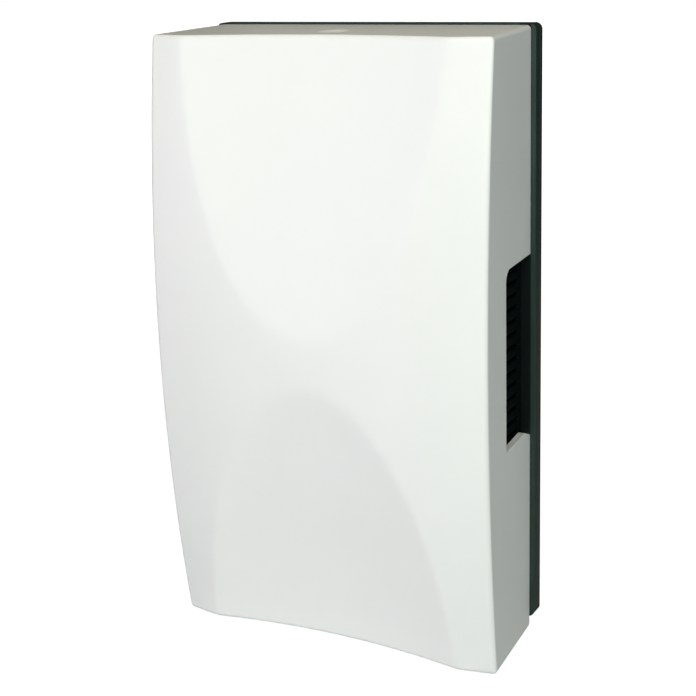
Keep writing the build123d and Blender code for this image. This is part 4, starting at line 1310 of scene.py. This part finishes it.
def buildSofteningTree():
    # Joins the loose triangles, and shades smooth all but the real edges
    tree = bpy.data.node_groups.new("softening", "GeometryNodeTree")
    tree.interface.new_socket("Geometry", in_out="INPUT", socket_type="NodeSocketGeometry")
    tree.interface.new_socket("Geometry", in_out="OUTPUT", socket_type="NodeSocketGeometry")
    angleSocket = tree.interface.new_socket("Sharp Angle", in_out="INPUT", socket_type="NodeSocketFloat")
    angleSocket.default_value = sharpAngles["frameNodes"]
    start = tree.nodes.new("NodeGroupInput")
    merged = welded(tree, start.outputs["Geometry"])
    rounded = addNode(tree, "GeometryNodeSetShadeSmooth", Geometry=merged, **{"Shade Smooth": True})
    angle = tree.nodes.new("GeometryNodeInputMeshEdgeAngle").outputs[0]
    limit = start.outputs["Sharp Angle"]
    isSharp = addNode(tree, "FunctionNodeCompare", {"operation": "GREATER_THAN"}, i0=angle, i1=limit)
    edged = addNode(
        tree,
        "GeometryNodeSetShadeSmooth",
        {"domain": "EDGE"},
        Geometry=rounded.outputs[0],
        Selection=isSharp.outputs[0],
        **{"Shade Smooth": False},
    )
    end = tree.nodes.new("NodeGroupOutput")
    tree.links.new(edged.outputs[0], end.inputs[0])
    return tree


def dressFrameNodes():
    softening = buildSofteningTree()
    for name, node in frame["nodes"].items():
        node.data.materials.clear()
        node.data.materials.append(finishes[slotOf[name]])
        if name in edgeBreaks:
            node.modifiers.new("Join", "WELD").merge_threshold = weldDistance
            addBevel(node, edgeBreaks[name], sharpAngles["frameBevels"])
        node.modifiers.new("Softening", "NODES").node_group = softening
        if name in edgeBreaks:
            # Broad faces keep their own direction beside the narrow bevels.
            level = node.modifiers.new("Level", "WEIGHTED_NORMAL")
            level.weight = 100
            level.keep_sharp = True


dressFrameNodes()
print("frame nodes dressed")


# Floor, light and camera

stage = {
    "floorDrop": 0.4 * mm,
    "size": 6.0,
    "floor": (0.6, 0.6, 0.6),
    "roughness": 0.8,
    "glow": 1.22,
    "nearShare": 0.82,
    "near": 0.35,
    "far": 0.8,
    "fill": 0.02,
    "fillColour": (0.96, 1.0, 0.97),
    "lampAim": (0.0, -20.0 * mm, 0.0),
}


def seenDirectly(tree):
    # One where the camera looks, also through clear pieces, and zero for light and shadow
    path = tree.nodes.new("ShaderNodeLightPath")
    return Field(tree, path.outputs["Is Camera Ray"]).most(Field(tree, path.outputs["Is Transmission Ray"]))


def makeFloor():
    # Bright to the camera, and wholly so far away, but it keeps the object's shadow.
    low = cadBounds[0].z - stage["floorDrop"]
    half = stage["size"] / 2
    corners = [(-half, -half, low), (half, -half, low), (half, half, low), (-half, half, low)]
    finish = bpy.data.materials.new("paleFloor")
    finish.use_nodes = True
    tree = finish.node_tree
    shader = tree.nodes["Principled BSDF"]
    shader.inputs["Base Color"].default_value = (*stage["floor"], 1)
    shader.inputs["Roughness"].default_value = stage["roughness"]
    glow = addNode(tree, "ShaderNodeEmission", Color=(1.0, 1.0, 1.0, 1.0), Strength=stage["glow"])
    length = addNode(tree, "ShaderNodeVectorMath", {"operation": "LENGTH"}, i0=objectPlace(tree))
    away = Field(tree, length.outputs["Value"])
    seen = seenDirectly(tree) * away.ramp(stage["near"], stage["far"], stage["nearShare"], 1)
    mixed = addNode(tree, "ShaderNodeMixShader", i0=seen, i1=shader.outputs[0], i2=glow.outputs[0])
    tree.links.new(mixed.outputs[0], tree.nodes["Material Output"].inputs["Surface"])
    floor = meshObject("floor", corners, [(0, 1, 2, 3)], finish)


def makeWorld():
    world = bpy.data.worlds.new("studio")
    bpy.context.scene.world = world
    world.use_nodes = True
    tree = world.node_tree
    fill = tree.nodes["Background"]
    fill.inputs["Color"].default_value = (*stage["fillColour"], 1)
    fill.inputs["Strength"].default_value = stage["fill"]
    white = addNode(tree, "ShaderNodeBackground", Color=(1.0, 1.0, 1.0, 1.0), Strength=1.0)
    mixed = addNode(
        tree, "ShaderNodeMixShader", i0=seenDirectly(tree), i1=fill.outputs[0], i2=white.outputs[0]
    )
    tree.links.new(mixed.outputs[0], tree.nodes["World Output"].inputs["Surface"])


# Each lamp: azimuth to the right of straight ahead, elevation, distance, size, power, colour
lamps = {
    "leftLamp": (-40, 5, 1.0, 0.67, 3.54, (0.83, 0.793, 1.0)),
    "rightLamp": (35, 25, 1.0, 0.67, 5.48, (0.787, 0.931, 1.0)),
    "highLamp": (20, 45, 1.0, 0.67, 4.85, (1.0, 0.863, 0.61)),
    "backLamp": (200, -4, 0.75, 0.4, 2.2, (1.0, 1.0, 1.0)),
}


def makeLamps():
    for name, (azimuth, elevation, distance, size, power, colour) in lamps.items():
        data = bpy.data.lights.new(name, "AREA")
        data.shape = "SQUARE"
        data.size = size
        data.energy = power
        data.color = colour
        lamp = newObject(name, data)
        a, e = radians(azimuth), radians(elevation)
        toward = Vector((sin(a) * cos(e), -cos(a) * cos(e), sin(e)))
        lamp.location = Vector(stage["lampAim"]) + toward * distance
        lamp.rotation_euler = toward.to_track_quat("Z", "Y").to_euler()


camera = {
    "place": (209.06 * mm, -404.46 * mm, 122.7 * mm),
    "forward": (-0.4627, 0.841, -0.2804),
    "up": (-0.1053, 0.262, 0.9593),
    "lens": 74.77,
    "sensor": 36.0,
    "clipStart": 10.0 * mm,
}


def makeCamera():
    data = bpy.data.cameras.new("camera")
    data.lens = camera["lens"]
    data.sensor_width = camera["sensor"]
    data.clip_start = camera["clipStart"]
    eye = newObject("camera", data)
    back = -Vector(camera["forward"]).normalized()
    right = Vector(camera["up"]).cross(back).normalized()
    up = back.cross(right)
    eye.matrix_world = Matrix.Translation(camera["place"]) @ Matrix((right, up, back)).transposed().to_4x4()
    bpy.context.scene.camera = eye


makeFloor()
makeWorld()
makeLamps()
makeCamera()
bpy.context.scene.view_settings.view_transform = "Standard"
print("stage set")
